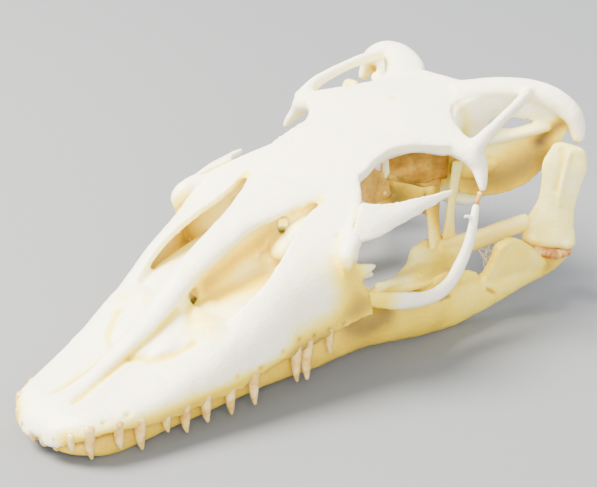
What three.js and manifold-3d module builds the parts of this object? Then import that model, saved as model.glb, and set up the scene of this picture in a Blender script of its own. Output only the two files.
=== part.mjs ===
// A dried monitor lizard skull with its lower jaw, in millimetres, +Z up.
// x runs to the animal's left, y from the snout back, z up from the table that it rests on.
import * as THREE from 'three';
import { mergeVertices } from 'three/addons/utils/BufferGeometryUtils.js';
import Module from 'manifold-3d';

const wasm = await Module();
wasm.setup();

// Driving dimensions
const SKULL_LENGTH = 88.6; // snout tip to the back of the supratemporal processes
const SHELL = 1.3; // wall of the snout
const ROOF = 1.8; // wall of the skull roof
const THIN_WALL = 1.0; // wall of the prefrontals
const MEMBRANE = 0.4; // dried skin between the orbits
const FLAT_CUT = 6; // how deep the cut below the table reaches
const TOOTH_SIDES = 5;
const END_BULGE = 0.6; // how far a bar's end stands out, in its own half widths
const MIDLINE_GAP = 0.2; // from the midline to each half of the lower jaw

const UP = new THREE.Vector3(0, 0, 1);
const BACK = new THREE.Vector3(0, 1, 0);
const point = ([x, y, z]) => new THREE.Vector3(x, y, z);

// Closed solid from rings of points that all have the same count, with a fan on each end
function closeRings(rings, firstTip, lastTip) {
  const count = rings[0].length;
  const points = [...rings.flat(), firstTip, lastTip];
  const first = points.length - 2;
  const last = points.length - 1;
  const faces = [];
  for (let ring = 0; ring + 1 < rings.length; ring += 1) {
    for (let side = 0; side < count; side += 1) {
      const next = (side + 1) % count;
      const a = ring * count + side;
      const b = ring * count + next;
      const c = a + count;
      const d = b + count;
      faces.push(a, b, d, a, d, c);
    }
  }
  const top = (rings.length - 1) * count;
  for (let side = 0; side < count; side += 1) {
    const next = (side + 1) % count;
    faces.push(first, next, side, last, top + side, top + next);
  }
  return solidFrom(points, faces);
}

// Geometry to solid: shared vertices merged, faces turned out if the volume is negative
function solidFrom(points, faces) {
  const geometry = new THREE.BufferGeometry().setFromPoints(points);
  geometry.setIndex(faces);
  return toManifold(geometry);
}

function toManifold(source) {
  const geometry = mergeVertices(source, 1e-5);
  const make = (triVerts) => new wasm.Manifold(new wasm.Mesh({
    numProp: 3,
    vertProperties: new Float32Array(geometry.attributes.position.array),
    triVerts: new Uint32Array(triVerts),
  }));
  const index = Array.from(geometry.index.array);
  const solid = make(index);
  if (solid.volume() > 0) return solid;
  for (let i = 0; i < index.length; i += 3) {
    [index[i], index[i + 1]] = [index[i + 1], index[i]];
  }
  return make(index);
}

// Bone bar: an elliptical section swept along a smooth line through the stations.
// A station is [x, y, z, half width, half height]; the height leans towards `up`.
function bar(stations, { steps = 2 * (stations.length - 1), sides = 6, up = UP } = {}) {
  const line = new THREE.CatmullRomCurve3(stations.map(point));
  const halves = new THREE.CatmullRomCurve3(stations.map(([, , , w, h]) => new THREE.Vector3(w, h, 0)));
  const rings = [];
  const ringAt = (t) => {
    const along = line.getTangent(t);
    const high = up.clone().addScaledVector(along, -up.dot(along)).normalize();
    const wide = new THREE.Vector3().crossVectors(along, high);
    const { x: w, y: h } = halves.getPoint(t);
    const centre = line.getPoint(t);
    return Array.from({ length: sides }, (_, i) => {
      const turn = (2 * Math.PI * (i + 0.5)) / sides;
      return centre.clone()
        .addScaledVector(wide, w * Math.cos(turn))
        .addScaledVector(high, h * Math.sin(turn));
    });
  };
  for (let step = 0; step <= steps; step += 1) rings.push(ringAt(step / steps));
  const tipAt = (t, sign) => {
    const { x: w, y: h } = halves.getPoint(t);
    return line.getPoint(t).addScaledVector(line.getTangent(t), sign * END_BULGE * Math.min(w, h));
  };
  return closeRings(rings, tipAt(0, -1), tipAt(1, 1));
}

// Bone sheet: a smooth surface through rows of points, given a wall on its inner side.
// Each row has the same number of points; `across` and `along` are the face counts.
function sheet(rows, thickness, { across, along, flip = false }) {
  const smooth = (points, count) => {
    const curve = new THREE.CatmullRomCurve3(points);
    return Array.from({ length: count + 1 }, (_, i) => curve.getPoint(i / count));
  };
  const wideRows = rows.map((row) => smooth(row.map(point), across));
  const columns = wideRows[0].map((_, i) => smooth(wideRows.map((row) => row[i]), along));
  const at = (r, c) => columns[THREE.MathUtils.clamp(c, 0, across)][THREE.MathUtils.clamp(r, 0, along)];
  const outer = [];
  const inner = [];
  for (let r = 0; r <= along; r += 1) {
    for (let c = 0; c <= across; c += 1) {
      const sideways = at(r, c + 1).clone().sub(at(r, c - 1));
      const onward = at(r + 1, c).clone().sub(at(r - 1, c));
      const normal = sideways.cross(onward).normalize().multiplyScalar(flip ? -1 : 1);
      outer.push(at(r, c).clone());
      inner.push(at(r, c).clone().addScaledVector(normal, thickness));
    }
  }
  const width = across + 1;
  const size = outer.length;
  const faces = [];
  const quad = (a, b, c, d) => faces.push(a, b, c, a, c, d);
  for (let r = 0; r < along; r += 1) {
    for (let c = 0; c < across; c += 1) {
      const a = r * width + c;
      quad(a, a + 1, a + 1 + width, a + width);
      quad(size + a, size + a + width, size + a + 1 + width, size + a + 1);
    }
    const left = r * width;
    const right = left + across;
    quad(left + width, size + left + width, size + left, left);
    quad(right, size + right, size + right + width, right + width);
  }
  for (let c = 0; c < across; c += 1) {
    const far = along * width + c;
    quad(c, size + c, size + c + 1, c + 1);
    quad(far + 1, size + far + 1, size + far, far);
  }
  return solidFrom([...outer, ...inner], faces);
}

// Slender cone whose root sits inside the bone
function tooth(root, tip, radius) {
  const base = point(root);
  const end = point(tip);
  const along = end.clone().sub(base).normalize();
  const wide = new THREE.Vector3().crossVectors(along, BACK).normalize();
  const high = new THREE.Vector3().crossVectors(wide, along);
  const ring = Array.from({ length: TOOTH_SIDES }, (_, i) => {
    const turn = (2 * Math.PI * i) / TOOTH_SIDES;
    return base.clone().addScaledVector(wide, radius * Math.cos(turn)).addScaledVector(high, radius * Math.sin(turn));
  });
  return closeRings([ring], base, end);
}

const joined = (solids) => solids.reduce((sum, solid) => sum.add(solid));
const mirrored = (solid) => solid.mirror([1, 0, 0]);
const bothSides = (solid) => solid.add(mirrored(solid));
const mirrorRow = (half) => [...half, ...half.slice(0, -1).reverse().map(([x, y, z]) => [-x, y, z])];

// Everything below the table plane is cut away, which leaves the flats it rests on
function cutAtTable(solid) {
  const block = new THREE.BoxGeometry(3 * SKULL_LENGTH, 3 * SKULL_LENGTH, FLAT_CUT);
  block.deleteAttribute('normal');
  block.deleteAttribute('uv');
  block.translate(0, 0, -FLAT_CUT / 2);
  return solid.subtract(toManifold(block));
}

// Snout: an arch from one tooth row over the top to the other, back to the nostrils
function snoutRoof() {
  const halfArches = [
    [0.0, [[1.1, 2.1], [1.2, 2.6], [1.0, 3.1], [0.5, 3.3], [0, 3.35]]],
    [0.5, [[3.0, 2.2], [3.2, 3.0], [2.7, 4.0], [1.4, 4.4], [0, 4.5]]],
    [1.8, [[5.1, 3.0], [5.4, 3.8], [4.5, 4.9], [2.4, 5.4], [0, 5.6]]],
    [3.6, [[6.7, 3.8], [6.95, 4.5], [5.9, 5.6], [3.1, 6.1], [0, 6.4]]],
    [6.6, [[7.9, 3.9], [8.15, 4.7], [7.0, 5.9], [3.3, 6.5], [0, 7.0]]],
    [10, [[8.9, 3.5], [9.15, 4.8], [8.0, 6.3], [3.0, 7.1], [0, 8.0]]],
    [14, [[9.8, 3.5], [10.1, 5.2], [8.8, 7.2], [2.7, 8.2], [0, 9.7]]],
    [18, [[10.6, 3.9], [10.9, 6.2], [9.3, 8.6], [2.6, 9.8], [0, 11.7]]],
    [22, [[11.5, 4.2], [11.8, 7.3], [10.0, 10.3], [2.6, 11.6], [0, 14.0]]],
    [24.9, [[12.2, 4.7], [12.3, 8.0], [10.2, 11.4], [2.6, 12.8], [0, 15.6]]],
  ];
  const rows = halfArches.map(([y, half]) => mirrorRow(half.map(([x, z]) => [x, y, z])));
  return sheet(rows, SHELL, { across: 10, along: 8 });
}

// Left cheek: the maxilla from the nostril back, the lacrimal and the prefrontal, with the
// front rim of the orbit turned inwards. Each row runs from the tooth row up to the roof.
function leftCheek() {
  return sheet([
    [[11.8, 23.4, 4.7], [11.9, 23.4, 7.0], [11.3, 23.4, 9.2], [10.3, 23.4, 10.4], [9.2, 23.5, 11.0], [7.8, 23.6, 11.4]],
    [[13.0, 29.8, 6.1], [13.3, 29.8, 8.6], [12.8, 29.8, 11.4], [11.8, 30.0, 13.6], [10.6, 30.1, 14.9], [9.1, 30.2, 15.6]],
    [[13.8, 35.0, 7.0], [14.0, 35.0, 9.6], [13.7, 35.0, 12.8], [12.6, 35.0, 15.6], [10.8, 35.1, 17.4], [8.5, 35.2, 18.4]],
    [[14.6, 39.6, 7.8], [14.9, 39.6, 10.6], [14.7, 39.2, 14.6], [13.2, 39.8, 18.0], [10.4, 40.0, 19.8], [7.0, 40.3, 20.9]],
    [[15.4, 43.0, 8.5], [15.6, 42.4, 11.6], [15.1, 41.0, 16.8], [13.9, 43.2, 19.5], [10.8, 44.2, 21.6], [6.8, 45.0, 22.8]],
    [[15.9, 45.2, 9.0], [15.9, 43.8, 12.6], [15.0, 41.9, 18.0], [14.1, 46.4, 20.4], [11.0, 47.8, 22.8], [7.6, 51.2, 25.0]],
    [[15.0, 44.8, 9.8], [15.0, 43.0, 12.8], [14.0, 41.6, 17.4], [13.2, 45.2, 19.2], [10.2, 46.6, 21.2], [7.2, 49.6, 22.6]],
  ], THIN_WALL, { across: 7, along: 9 });
}

// Left front wall of the orbit, and the lacrimal's point on its rim
function leftOrbitFront() {
  const wall = sheet([
    [[13.5, 41.9, 17.8], [11.4, 44.2, 19.0], [9.2, 46.0, 20.4], [7.0, 48.8, 22.2]],
    [[14.2, 41.6, 14.0], [11.8, 42.4, 14.2], [9.4, 43.8, 14.8], [7.0, 46.2, 15.4]],
    [[14.6, 42.8, 10.4], [12.2, 42.8, 9.8], [9.8, 43.6, 9.4], [7.4, 45.4, 9.4]],
  ], THIN_WALL, { across: 3, along: 3 });
  const lacrimalPoint = bar([
    [15.0, 41.8, 15.6, 0.6, 1.5],
    [15.6, 43.4, 15.9, 0.45, 0.9],
    [15.8, 44.7, 16.1, 0.25, 0.3],
  ], { sides: 4, steps: 2 });
  return joined([wall, lacrimalPoint]);
}

// Midline bar between the nostrils, from the premaxilla to the frontals
function nasalBar() {
  return bar([
    [0, 7, 6.3, 0.9, 0.6],
    [0, 14, 8.8, 1.5, 0.9],
    [0, 20, 11.7, 1.9, 1.2],
    [0, 25.2, 15.1, 2.1, 1.4],
    [0, 31, 18.0, 2.4, 1.4],
    [0, 36, 20.0, 2.9, 1.3],
    [0, 40.5, 21.2, 4.4, 1.2],
    [0, 45, 22.6, 6.0, 1.1],
  ], { steps: 8 });
}

// Frontals and parietal in one plate: half widths, and heights at the midline and the edge
function skullTable() {
  const stations = [
    [40.5, 4.6, 21.9, 20.9],
    [44, 6.2, 23.1, 22.3],
    [48, 7.5, 24.6, 23.9],
    [52, 8.0, 25.8, 25.2],
    [55, 7.7, 26.7, 26.1],
    [58.4, 7.9, 27.6, 26.7],
    [61.4, 9.8, 28.3, 26.9],
    [63.8, 12.4, 28.8, 26.8],
    [66.6, 14.4, 29.3, 27.0],
    [69.4, 9.6, 29.7, 28.6],
    [73, 7.1, 30.0, 29.3],
    [76.5, 7.4, 30.3, 29.6],
    [79.4, 8.8, 30.5, 30.1],
  ];
  const rows = stations.map(([y, half, middle, edge]) => mirrorRow([
    [half, y, edge],
    [half * 0.72, y, middle - (middle - edge) * 0.4],
    [half * 0.35, y, middle - (middle - edge) * 0.08],
    [0, y, middle],
  ]));
  return sheet(rows, ROOF, { across: 6, along: 12 });
}

// Keels under the frontals, which hold the tube for the smell nerves
function leftFrontalKeel() {
  return bar([
    [3.4, 43, 20.4, 1.2, 1.3],
    [3.8, 50, 22.6, 1.2, 1.5],
    [4.6, 57, 24.6, 1.3, 1.4],
    [7.6, 62.4, 26.0, 1.5, 1.2],
    [11.4, 65.4, 25.8, 1.6, 1.2],
  ], { steps: 4 });
}

// Left postorbital: the spike that comes down behind the orbit
function leftPostorbital() {
  return bar([
    [12.2, 66.2, 26.2, 1.5, 1.8],
    [14.9, 66.8, 25.4, 1.6, 1.9],
    [16.2, 66.9, 23.8, 1.0, 1.5],
    [17.2, 66.4, 22.3, 0.7, 1.0],
    [17.8, 65.9, 21.2, 0.4, 0.55],
  ], { steps: 6, up: BACK });
}

// Left temporal arch, a thin rod over the open side of the jaw muscles
function leftTemporalArch() {
  return bar([
    [15.2, 66.4, 26.0, 1.3, 1.3],
    [15.3, 70, 27.7, 0.8, 1.0],
    [14.7, 75, 28.9, 0.7, 0.8],
    [13.8, 80, 29.6, 0.75, 0.85],
    [12.6, 84, 29.9, 0.9, 1.0],
  ], { steps: 5 });
}

// Left supratemporal process, from the parietal out and down behind the quadrate's head
function leftSupratemporalProcess() {
  return bar([
    [4.2, 77.0, 29.4, 2.8, 1.2],
    [8.2, 82.0, 29.7, 2.6, 1.4],
    [12.0, 84.8, 29.6, 2.2, 1.6],
    [15.6, 86.2, 28.6, 1.7, 1.7],
    [18.2, 87.2, 26.9, 1.3, 1.4],
    [18.9, 87.6, 25.4, 1.0, 0.95],
  ], { steps: 6 });
}

// Braincase: a rounded box, open at the front and through the foramen magnum at the back
function braincase() {
  const body = bar([
    [0, 74.0, 22.2, 5.0, 6.6],
    [0, 76, 21.0, 6.2, 8.6],
    [0, 79.5, 20.4, 7.3, 9.2],
    [0, 83.6, 20.0, 6.0, 7.0],
  ], { steps: 4, sides: 8 });
  const cavity = bar([
    [0, 68, 23.2, 3.4, 4.2],
    [0, 75, 22.0, 4.4, 5.6],
    [0, 80, 20.6, 4.6, 5.4],
    [0, 90, 19.6, 3.1, 3.1],
  ], { steps: 3, sides: 6 });
  const floor = bar([
    [0, 70, 16.4, 1.2, 1.0],
    [0, 75, 14.2, 3.0, 1.4],
    [0, 79.5, 12.8, 4.6, 1.8],
    [0, 85.6, 14.4, 2.6, 2.0],
  ], { steps: 4 });
  const tuber = bar([
    [3.0, 79.5, 12.2, 1.6, 1.2],
    [4.8, 82.4, 11.6, 1.5, 1.2],
    [6.0, 84.4, 12.6, 1.0, 1.0],
  ], { steps: 3 });
  const basipterygoid = bar([
    [3.6, 74.4, 16.4, 0.6, 1.5],
    [5.6, 71.8, 13.4, 0.5, 1.2],
    [7.0, 70.4, 11.0, 0.45, 1.0],
  ], { steps: 2, up: BACK });
  const rostrum = bar([
    [0, 55, 16.6, 0.35, 0.5],
    [0, 64, 17.2, 0.5, 0.6],
    [0, 70, 16.8, 0.9, 0.9],
    [0, 75, 14.8, 1.6, 1.2],
  ], { steps: 3, sides: 4 });
  const paroccipital = bar([
    [5.6, 78.0, 18.6, 1.2, 5.0],
    [9.4, 80.9, 18.9, 0.9, 5.3],
    [12.2, 83.1, 20.2, 0.8, 4.6],
    [14.6, 85.2, 22.6, 0.8, 2.9],
    [17.0, 87.0, 25.6, 0.9, 1.3],
  ], { steps: 4 });
  const parietalFlange = sheet([
    [[7.6, 70.6, 28.5], [7.0, 74.5, 28.8], [8.0, 78.8, 29.4]],
    [[7.2, 72.0, 26.4], [7.6, 75.5, 25.8], [8.8, 79.8, 25.8]],
    [[6.4, 73.4, 23.2], [7.4, 76.5, 22.2], [8.0, 80.4, 22.4]],
  ], THIN_WALL, { across: 3, along: 3 });
  const septum = bar([
    [0, 60.6, 18.0, 0.35, 0.9],
    [0, 63.4, 18.2, 0.35, 1.8],
    [0, 67.2, 18.0, 0.35, 1.6],
    [0, 70.4, 17.2, 0.35, 0.7],
  ], { steps: 3, sides: 4 });
  const sidesJoined = bothSides(joined([tuber, basipterygoid, paroccipital, parietalFlange]));
  return joined([body, floor, rostrum, septum]).subtract(cavity).add(sidesJoined);
}

// Left half of the palate: vomer and palatine in one strip, the maxilla's shelf, a cross strut
function leftPalate() {
  const vomerStrip = bar([
    [1.5, 4.6, 4.9, 1.1, 0.6],
    [1.7, 13, 5.6, 1.3, 0.6],
    [2.2, 24, 6.9, 1.5, 0.7],
    [3.4, 34, 8.2, 1.8, 0.8],
    [4.8, 44, 9.0, 2.2, 0.8],
    [6.2, 55.6, 8.5, 1.9, 0.7],
  ], { steps: 5, sides: 4 });
  const shelf = bar([
    [6.3, 7, 5.2, 1.6, 0.6],
    [7.4, 16, 6.1, 2.2, 0.7],
    [9.0, 26, 8.0, 2.4, 0.8],
    [10.4, 35, 9.4, 2.7, 0.8],
    [11.6, 42, 10.5, 2.9, 0.8],
    [13.6, 46.5, 10.8, 1.7, 0.8],
  ], { steps: 5, sides: 4 });
  const strut = bar([
    [4.8, 44, 9.2, 2.4, 0.8],
    [11.6, 43.4, 10.4, 2.0, 0.8],
  ], { steps: 1, sides: 4 });
  const noseFloor = bar([
    [5.2, 22, 8.6, 1.8, 1.2],
    [5.8, 27, 9.4, 2.3, 1.5],
    [6.8, 34, 11.2, 2.4, 1.7],
    [8.0, 41, 13.0, 2.3, 1.9],
    [8.6, 45, 13.6, 1.8, 1.6],
  ], { steps: 5 });
  return joined([vomerStrip, shelf, strut, noseFloor]);
}

// Upper teeth: how far back, half width of the row, height of the root and of the tip
const UPPER_TEETH = [
  [0.55, 1.2, 2.9, 1.5, 0.38], [0.85, 3.0, 3.0, 1.5, 0.4], [1.7, 4.9, 3.6, 1.7, 0.42],
  [3.3, 6.3, 4.4, 0.7, 0.62], [6.6, 7.9, 4.4, 1.3, 0.55], [9.4, 8.7, 4.2, 0.4, 0.62],
  [13.1, 9.5, 4.2, 1.6, 0.5], [15.8, 10.1, 4.3, 0.7, 0.58], [18.9, 10.7, 4.6, 1.1, 0.58],
  [22.6, 11.4, 4.9, 1.0, 0.58], [26.1, 12.2, 5.4, 1.3, 0.58], [33.1, 13.2, 7.2, 2.3, 0.6],
  [34.9, 13.4, 7.4, 2.0, 0.72], [38.6, 14.2, 8.0, 4.6, 0.5],
];

function leftUpperTeeth() {
  return UPPER_TEETH.map(([y, x, root, tip, radius]) => tooth([x - 0.35, y, root], [x - 0.25, y + 0.3, tip], radius));
}

// Bead of bone behind the front teeth, which closes the tip of the snout
function frontBead() {
  return bar([
    [-5.4, 2.9, 3.9, 0.7, 0.7],
    [-3.0, 1.5, 3.4, 0.65, 0.65],
    [0, 0.75, 3.1, 0.6, 0.65],
    [3.0, 1.5, 3.4, 0.65, 0.65],
    [5.4, 2.9, 3.9, 0.7, 0.7],
  ], { steps: 6, sides: 4 });
}

function cranium() {
  const left = joined([
    leftCheek(), leftOrbitFront(), leftFrontalKeel(), leftPostorbital(), leftTemporalArch(),
    leftSupratemporalProcess(), leftPalate(), ...leftUpperTeeth(),
  ]);
  return joined([snoutRoof(), frontBead(), nasalBar(), skullTable(), braincase(), bothSides(left)]);
}

// Left lower jaw: the long beam, the coronoid, the tall plate before the joint, the teeth
const LOWER_TEETH = { count: 11, firstBack: 5.2, spacing: 3.0, rise: 1.5, radius: 0.45 };

function leftMandible() {
  const stations = [
    [MIDLINE_GAP + 0.6, 1.8, 1.75, 0.6, 0.55],
    [2.7, 2.1, 1.75, 0.8, 0.75],
    [4.5, 3.4, 1.8, 0.95, 1.05],
    [5.7, 5.5, 1.75, 1.0, 1.55],
    [6.3, 8.4, 1.75, 1.05, 2.1],
    [7.5, 14.5, 2.5, 1.15, 1.75],
    [8.6, 21.5, 3.2, 1.2, 2.0],
    [10.2, 31.8, 4.2, 1.3, 2.4],
    [11.3, 38.8, 4.3, 1.35, 2.7],
    [12.5, 46.1, 4.9, 1.45, 2.8],
    [13.4, 51.7, 4.8, 1.5, 3.3],
    [14.3, 58, 4.2, 1.6, 3.9],
    [15.2, 64.6, 3.6, 1.7, 4.2],
    [16.5, 70.4, 3.8, 1.7, 2.7],
    [18.0, 76.2, 4.9, 1.6, 2.2],
    [19.2, 82.4, 5.2, 1.4, 1.4],
    [19.5, 86.0, 5.6, 1.0, 0.9],
  ];
  const beam = bar(stations, { steps: 16, sides: 8 });
  const coronoid = bar([
    [14.6, 57, 6.6, 1.0, 1.5],
    [15.1, 61.4, 7.6, 1.0, 1.5],
    [15.6, 65.6, 7.2, 0.95, 1.3],
    [16.0, 68.4, 6.5, 0.8, 0.9],
  ], { steps: 3 });
  const surangular = sheet([
    [[16.6, 68.4, 4.6], [17.8, 72, 4.2], [19.2, 77, 4.4], [20.2, 81.4, 4.6]],
    [[17.8, 69.9, 8.0], [19.0, 73, 8.4], [20.1, 77, 7.6], [20.7, 81, 5.8]],
    [[18.6, 70.6, 11.2], [19.2, 73, 11.9], [19.9, 76.4, 10.3], [20.6, 80.2, 6.9]],
  ], 1.4, { across: 4, along: 2, flip: true });
  const line = new THREE.CatmullRomCurve3(stations.map(([x, y, z, , h]) => new THREE.Vector3(x, y, z + h)));
  const crest = line.getPoints(200);
  const teeth = Array.from({ length: LOWER_TEETH.count }, (_, i) => {
    const back = LOWER_TEETH.firstBack + i * LOWER_TEETH.spacing;
    const { x, y, z } = crest.find((p) => p.y >= back);
    return tooth([x - 0.1, y, z - 0.6], [x - 0.1, y + 0.3, z + LOWER_TEETH.rise], LOWER_TEETH.radius);
  });
  return cutAtTable(joined([beam, coronoid, surangular, ...teeth]));
}

// Left quadrate: a broad strut with a ridge down its front, foot on the jaw, head in the skull
const QUADRATE_FACE = new THREE.Vector3(-0.55, 0.835, 0);

function leftQuadrate() {
  const blade = bar([
    [19.2, 82.3, 9.1, 4.0, 1.35],
    [19.1, 82.5, 11.4, 3.6, 1.2],
    [19.5, 83.1, 14.6, 2.8, 0.95],
    [19.8, 83.3, 17.6, 2.9, 0.85],
    [20.0, 83.5, 20.6, 3.2, 0.95],
    [20.0, 84.4, 22.9, 2.5, 1.1],
  ], { steps: 7, sides: 8, up: QUADRATE_FACE });
  const ridge = bar([
    [20.4, 81.9, 11.0, 0.7, 0.9],
    [20.3, 82.6, 15.0, 0.55, 0.8],
    [20.3, 82.9, 19.0, 0.5, 0.75],
    [20.3, 83.8, 22.6, 0.6, 0.9],
  ], { steps: 4, sides: 4, up: QUADRATE_FACE });
  return joined([blade, ridge]);
}

// Left jugal: a curved rod under the orbit that turns up to meet the postorbital
function leftJugal() {
  return bar([
    [16.8, 44.4, 10.9, 0.4, 0.7],
    [17.1, 47.0, 10.1, 0.6, 1.0],
    [17.3, 50.3, 9.3, 0.75, 1.15],
    [17.6, 54.0, 8.7, 0.75, 1.05],
    [17.9, 57.0, 8.6, 0.75, 1.1],
    [18.0, 59.4, 9.4, 0.75, 1.15],
    [18.0, 61.4, 11.2, 0.75, 1.05],
    [18.0, 63.0, 13.6, 0.7, 0.9],
    [17.7, 64.4, 16.6, 0.65, 0.8],
    [17.4, 65.2, 18.8, 0.5, 0.6],
  ], { steps: 9 });
}

// Palpebral: a flat spike that stands back over the orbit from the prefrontal's edge
function palpebral(length) {
  const whole = [
    [15.2, 44.0, 20.6, 0.35, 1.3],
    [15.0, 47.4, 21.1, 0.45, 1.9],
    [14.9, 51.6, 20.9, 0.5, 1.3],
    [14.9, 56.8, 21.1, 0.45, 0.75],
    [15.1, 61.8, 21.4, 0.25, 0.25],
  ];
  return bar(whole.slice(0, length), { steps: length });
}

// Left pterygoid with its ectopterygoid: plate, arm to the quadrate, arm to the cheek
function leftPterygoid() {
  const plate = sheet([
    [[5.6, 57.3, 8.9], [7.2, 57.6, 8.5], [9.0, 58.2, 8.6]],
    [[6.0, 61.5, 9.0], [8.4, 62.0, 8.2], [11.2, 62.4, 7.8]],
    [[6.6, 66.0, 9.4], [9.4, 66.4, 8.0], [12.6, 66.4, 7.4]],
    [[7.4, 70.0, 9.6], [9.4, 70.4, 8.2], [11.2, 70.4, 7.4]],
    [[8.8, 73.4, 9.8], [10.0, 73.6, 8.6], [11.0, 73.6, 7.6]],
  ], 1.1, { across: 3, along: 5, flip: true });
  const quadrateArm = bar([
    [8.8, 69.4, 8.6, 1.0, 1.2],
    [10.2, 74.0, 8.3, 0.8, 1.6],
    [12.0, 76.9, 9.0, 0.7, 1.5],
    [14.0, 78.6, 10.3, 0.65, 1.5],
    [15.4, 79.7, 11.3, 0.6, 1.4],
  ], { steps: 5 });
  const cheekArm = bar([
    [15.9, 45.3, 12.9, 0.35, 0.5],
    [15.9, 47.6, 12.4, 0.5, 0.55],
    [15.2, 50.6, 11.4, 0.8, 0.6],
    [13.8, 55.0, 10.0, 1.1, 0.6],
    [12.2, 59.4, 8.8, 1.3, 0.7],
    [10.8, 63.4, 7.9, 1.4, 0.7],
  ], { steps: 5 });
  return joined([plate, quadrateArm, cheekArm]);
}

// Left epipterygoid: a thin column from the pterygoid up beside the braincase
function leftEpipterygoid() {
  return bar([
    [9.0, 71.6, 10.3, 0.55, 1.1],
    [8.6, 72.1, 13.0, 0.5, 0.9],
    [8.2, 73.0, 16.4, 0.5, 0.9],
    [7.9, 74.2, 19.2, 0.5, 1.1],
  ], { steps: 4, up: BACK });
}

// Dried tissue left at the joint between quadrate and lower jaw
function leftJawLigament() {
  return bar([
    [17.5, 81.4, 7.55, 0.7, 0.3],
    [19.4, 82.7, 7.6, 1.1, 0.32],
    [21.2, 84.2, 7.6, 0.9, 0.32],
  ], { steps: 3 });
}

// Dried knot between the postorbital's tip and the jugal's tip
function leftOrbitLigament() {
  return bar([
    [17.42, 65.35, 19.85, 0.35, 0.45],
    [17.6, 65.6, 20.45, 0.3, 0.4],
  ], { steps: 1, up: BACK });
}

// Dried membrane that closes the front of the braincase between the orbits
function orbitMembrane() {
  return sheet([
    [[4.8, 71.2, 27.0], [2.6, 69.2, 26.8], [0, 67.0, 26.6], [-2.6, 69.2, 26.8], [-4.8, 71.2, 27.0]],
    [[4.8, 71.9, 23.0], [2.6, 69.8, 23.0], [0, 67.4, 23.0], [-2.6, 69.8, 23.0], [-4.8, 71.9, 23.0]],
    [[4.2, 72.4, 18.8], [2.4, 70.6, 19.2], [0, 67.9, 20.4], [-2.4, 70.6, 19.2], [-4.2, 72.4, 18.8]],
  ], MEMBRANE, { across: 4, along: 2 });
}

const BONE = { color: '#efe4c8', roughness: 0.55 };
const IVORY = { color: '#f1e6c4', roughness: 0.5 };
const OCHRE = { color: '#e2c98c', roughness: 0.55 };
const TISSUE = { color: '#9a6a34', roughness: 0.7 };
const AMBER = { color: '#d9a85a', roughness: 0.6 };

const skull = new THREE.Group();
skull.position.set(0, -SKULL_LENGTH / 2, 0);

function addPiece(name, solid, { color, roughness }) {
  const { numProp, vertProperties, triVerts } = solid.getMesh();
  const geometry = new THREE.BufferGeometry();
  geometry.setAttribute('position', new THREE.BufferAttribute(new Float32Array(vertProperties), numProp));
  geometry.setIndex(Array.from(triVerts));
  const material = new THREE.MeshStandardMaterial({ color, roughness, metalness: 0 });
  const mesh = new THREE.Mesh(geometry, material);
  mesh.name = name;
  skull.add(mesh);
}

function addPair(name, leftSolid, finish) {
  addPiece(`left_${name}`, leftSolid, finish);
  addPiece(`right_${name}`, mirrored(leftSolid), finish);
}

addPiece('cranium', cranium(), BONE);
addPair('mandible', leftMandible(), OCHRE);
addPair('quadrate', leftQuadrate(), IVORY);
addPair('jugal', leftJugal(), BONE);
addPair('pterygoid', leftPterygoid(), IVORY);
addPair('epipterygoid', leftEpipterygoid(), IVORY);
addPair('jaw_ligament', leftJawLigament(), TISSUE);
addPiece('left_palpebral', palpebral(5), BONE);
addPiece('right_palpebral', mirrored(palpebral(3)), BONE);
addPiece('left_orbit_ligament', leftOrbitLigament(), TISSUE);
addPiece('orbit_membrane', orbitMembrane(), AMBER);

export default skull;
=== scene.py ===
"""A dried monitor lizard skull with its lower jaw closed, lying on a pale floor.

Places are in millimetres: x to the animal's left, y back from the tip of the snout, and z up
from the floor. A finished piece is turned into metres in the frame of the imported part.
"""

from itertools import pairwise

import bmesh
import bpy
import numpy as np
from mathutils import Matrix, Vector, noise
from mathutils.bvhtree import BVHTree


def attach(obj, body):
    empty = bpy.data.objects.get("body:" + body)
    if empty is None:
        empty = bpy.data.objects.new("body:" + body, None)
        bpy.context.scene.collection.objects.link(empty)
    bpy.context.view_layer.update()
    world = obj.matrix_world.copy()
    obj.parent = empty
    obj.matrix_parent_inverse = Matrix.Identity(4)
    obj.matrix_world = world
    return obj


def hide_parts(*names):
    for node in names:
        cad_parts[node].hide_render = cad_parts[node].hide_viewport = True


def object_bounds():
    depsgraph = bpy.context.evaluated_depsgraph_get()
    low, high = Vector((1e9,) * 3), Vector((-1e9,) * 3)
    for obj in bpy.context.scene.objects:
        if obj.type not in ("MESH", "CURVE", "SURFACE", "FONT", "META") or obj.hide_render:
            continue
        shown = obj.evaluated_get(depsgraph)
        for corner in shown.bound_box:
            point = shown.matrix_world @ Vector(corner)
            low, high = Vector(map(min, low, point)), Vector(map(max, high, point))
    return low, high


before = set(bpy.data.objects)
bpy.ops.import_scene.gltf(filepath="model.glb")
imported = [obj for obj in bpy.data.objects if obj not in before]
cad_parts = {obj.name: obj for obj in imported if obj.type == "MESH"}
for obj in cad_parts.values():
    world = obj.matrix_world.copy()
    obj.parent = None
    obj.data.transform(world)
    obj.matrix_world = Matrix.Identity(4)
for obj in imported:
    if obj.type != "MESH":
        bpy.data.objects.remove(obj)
cad_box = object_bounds()

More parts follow.
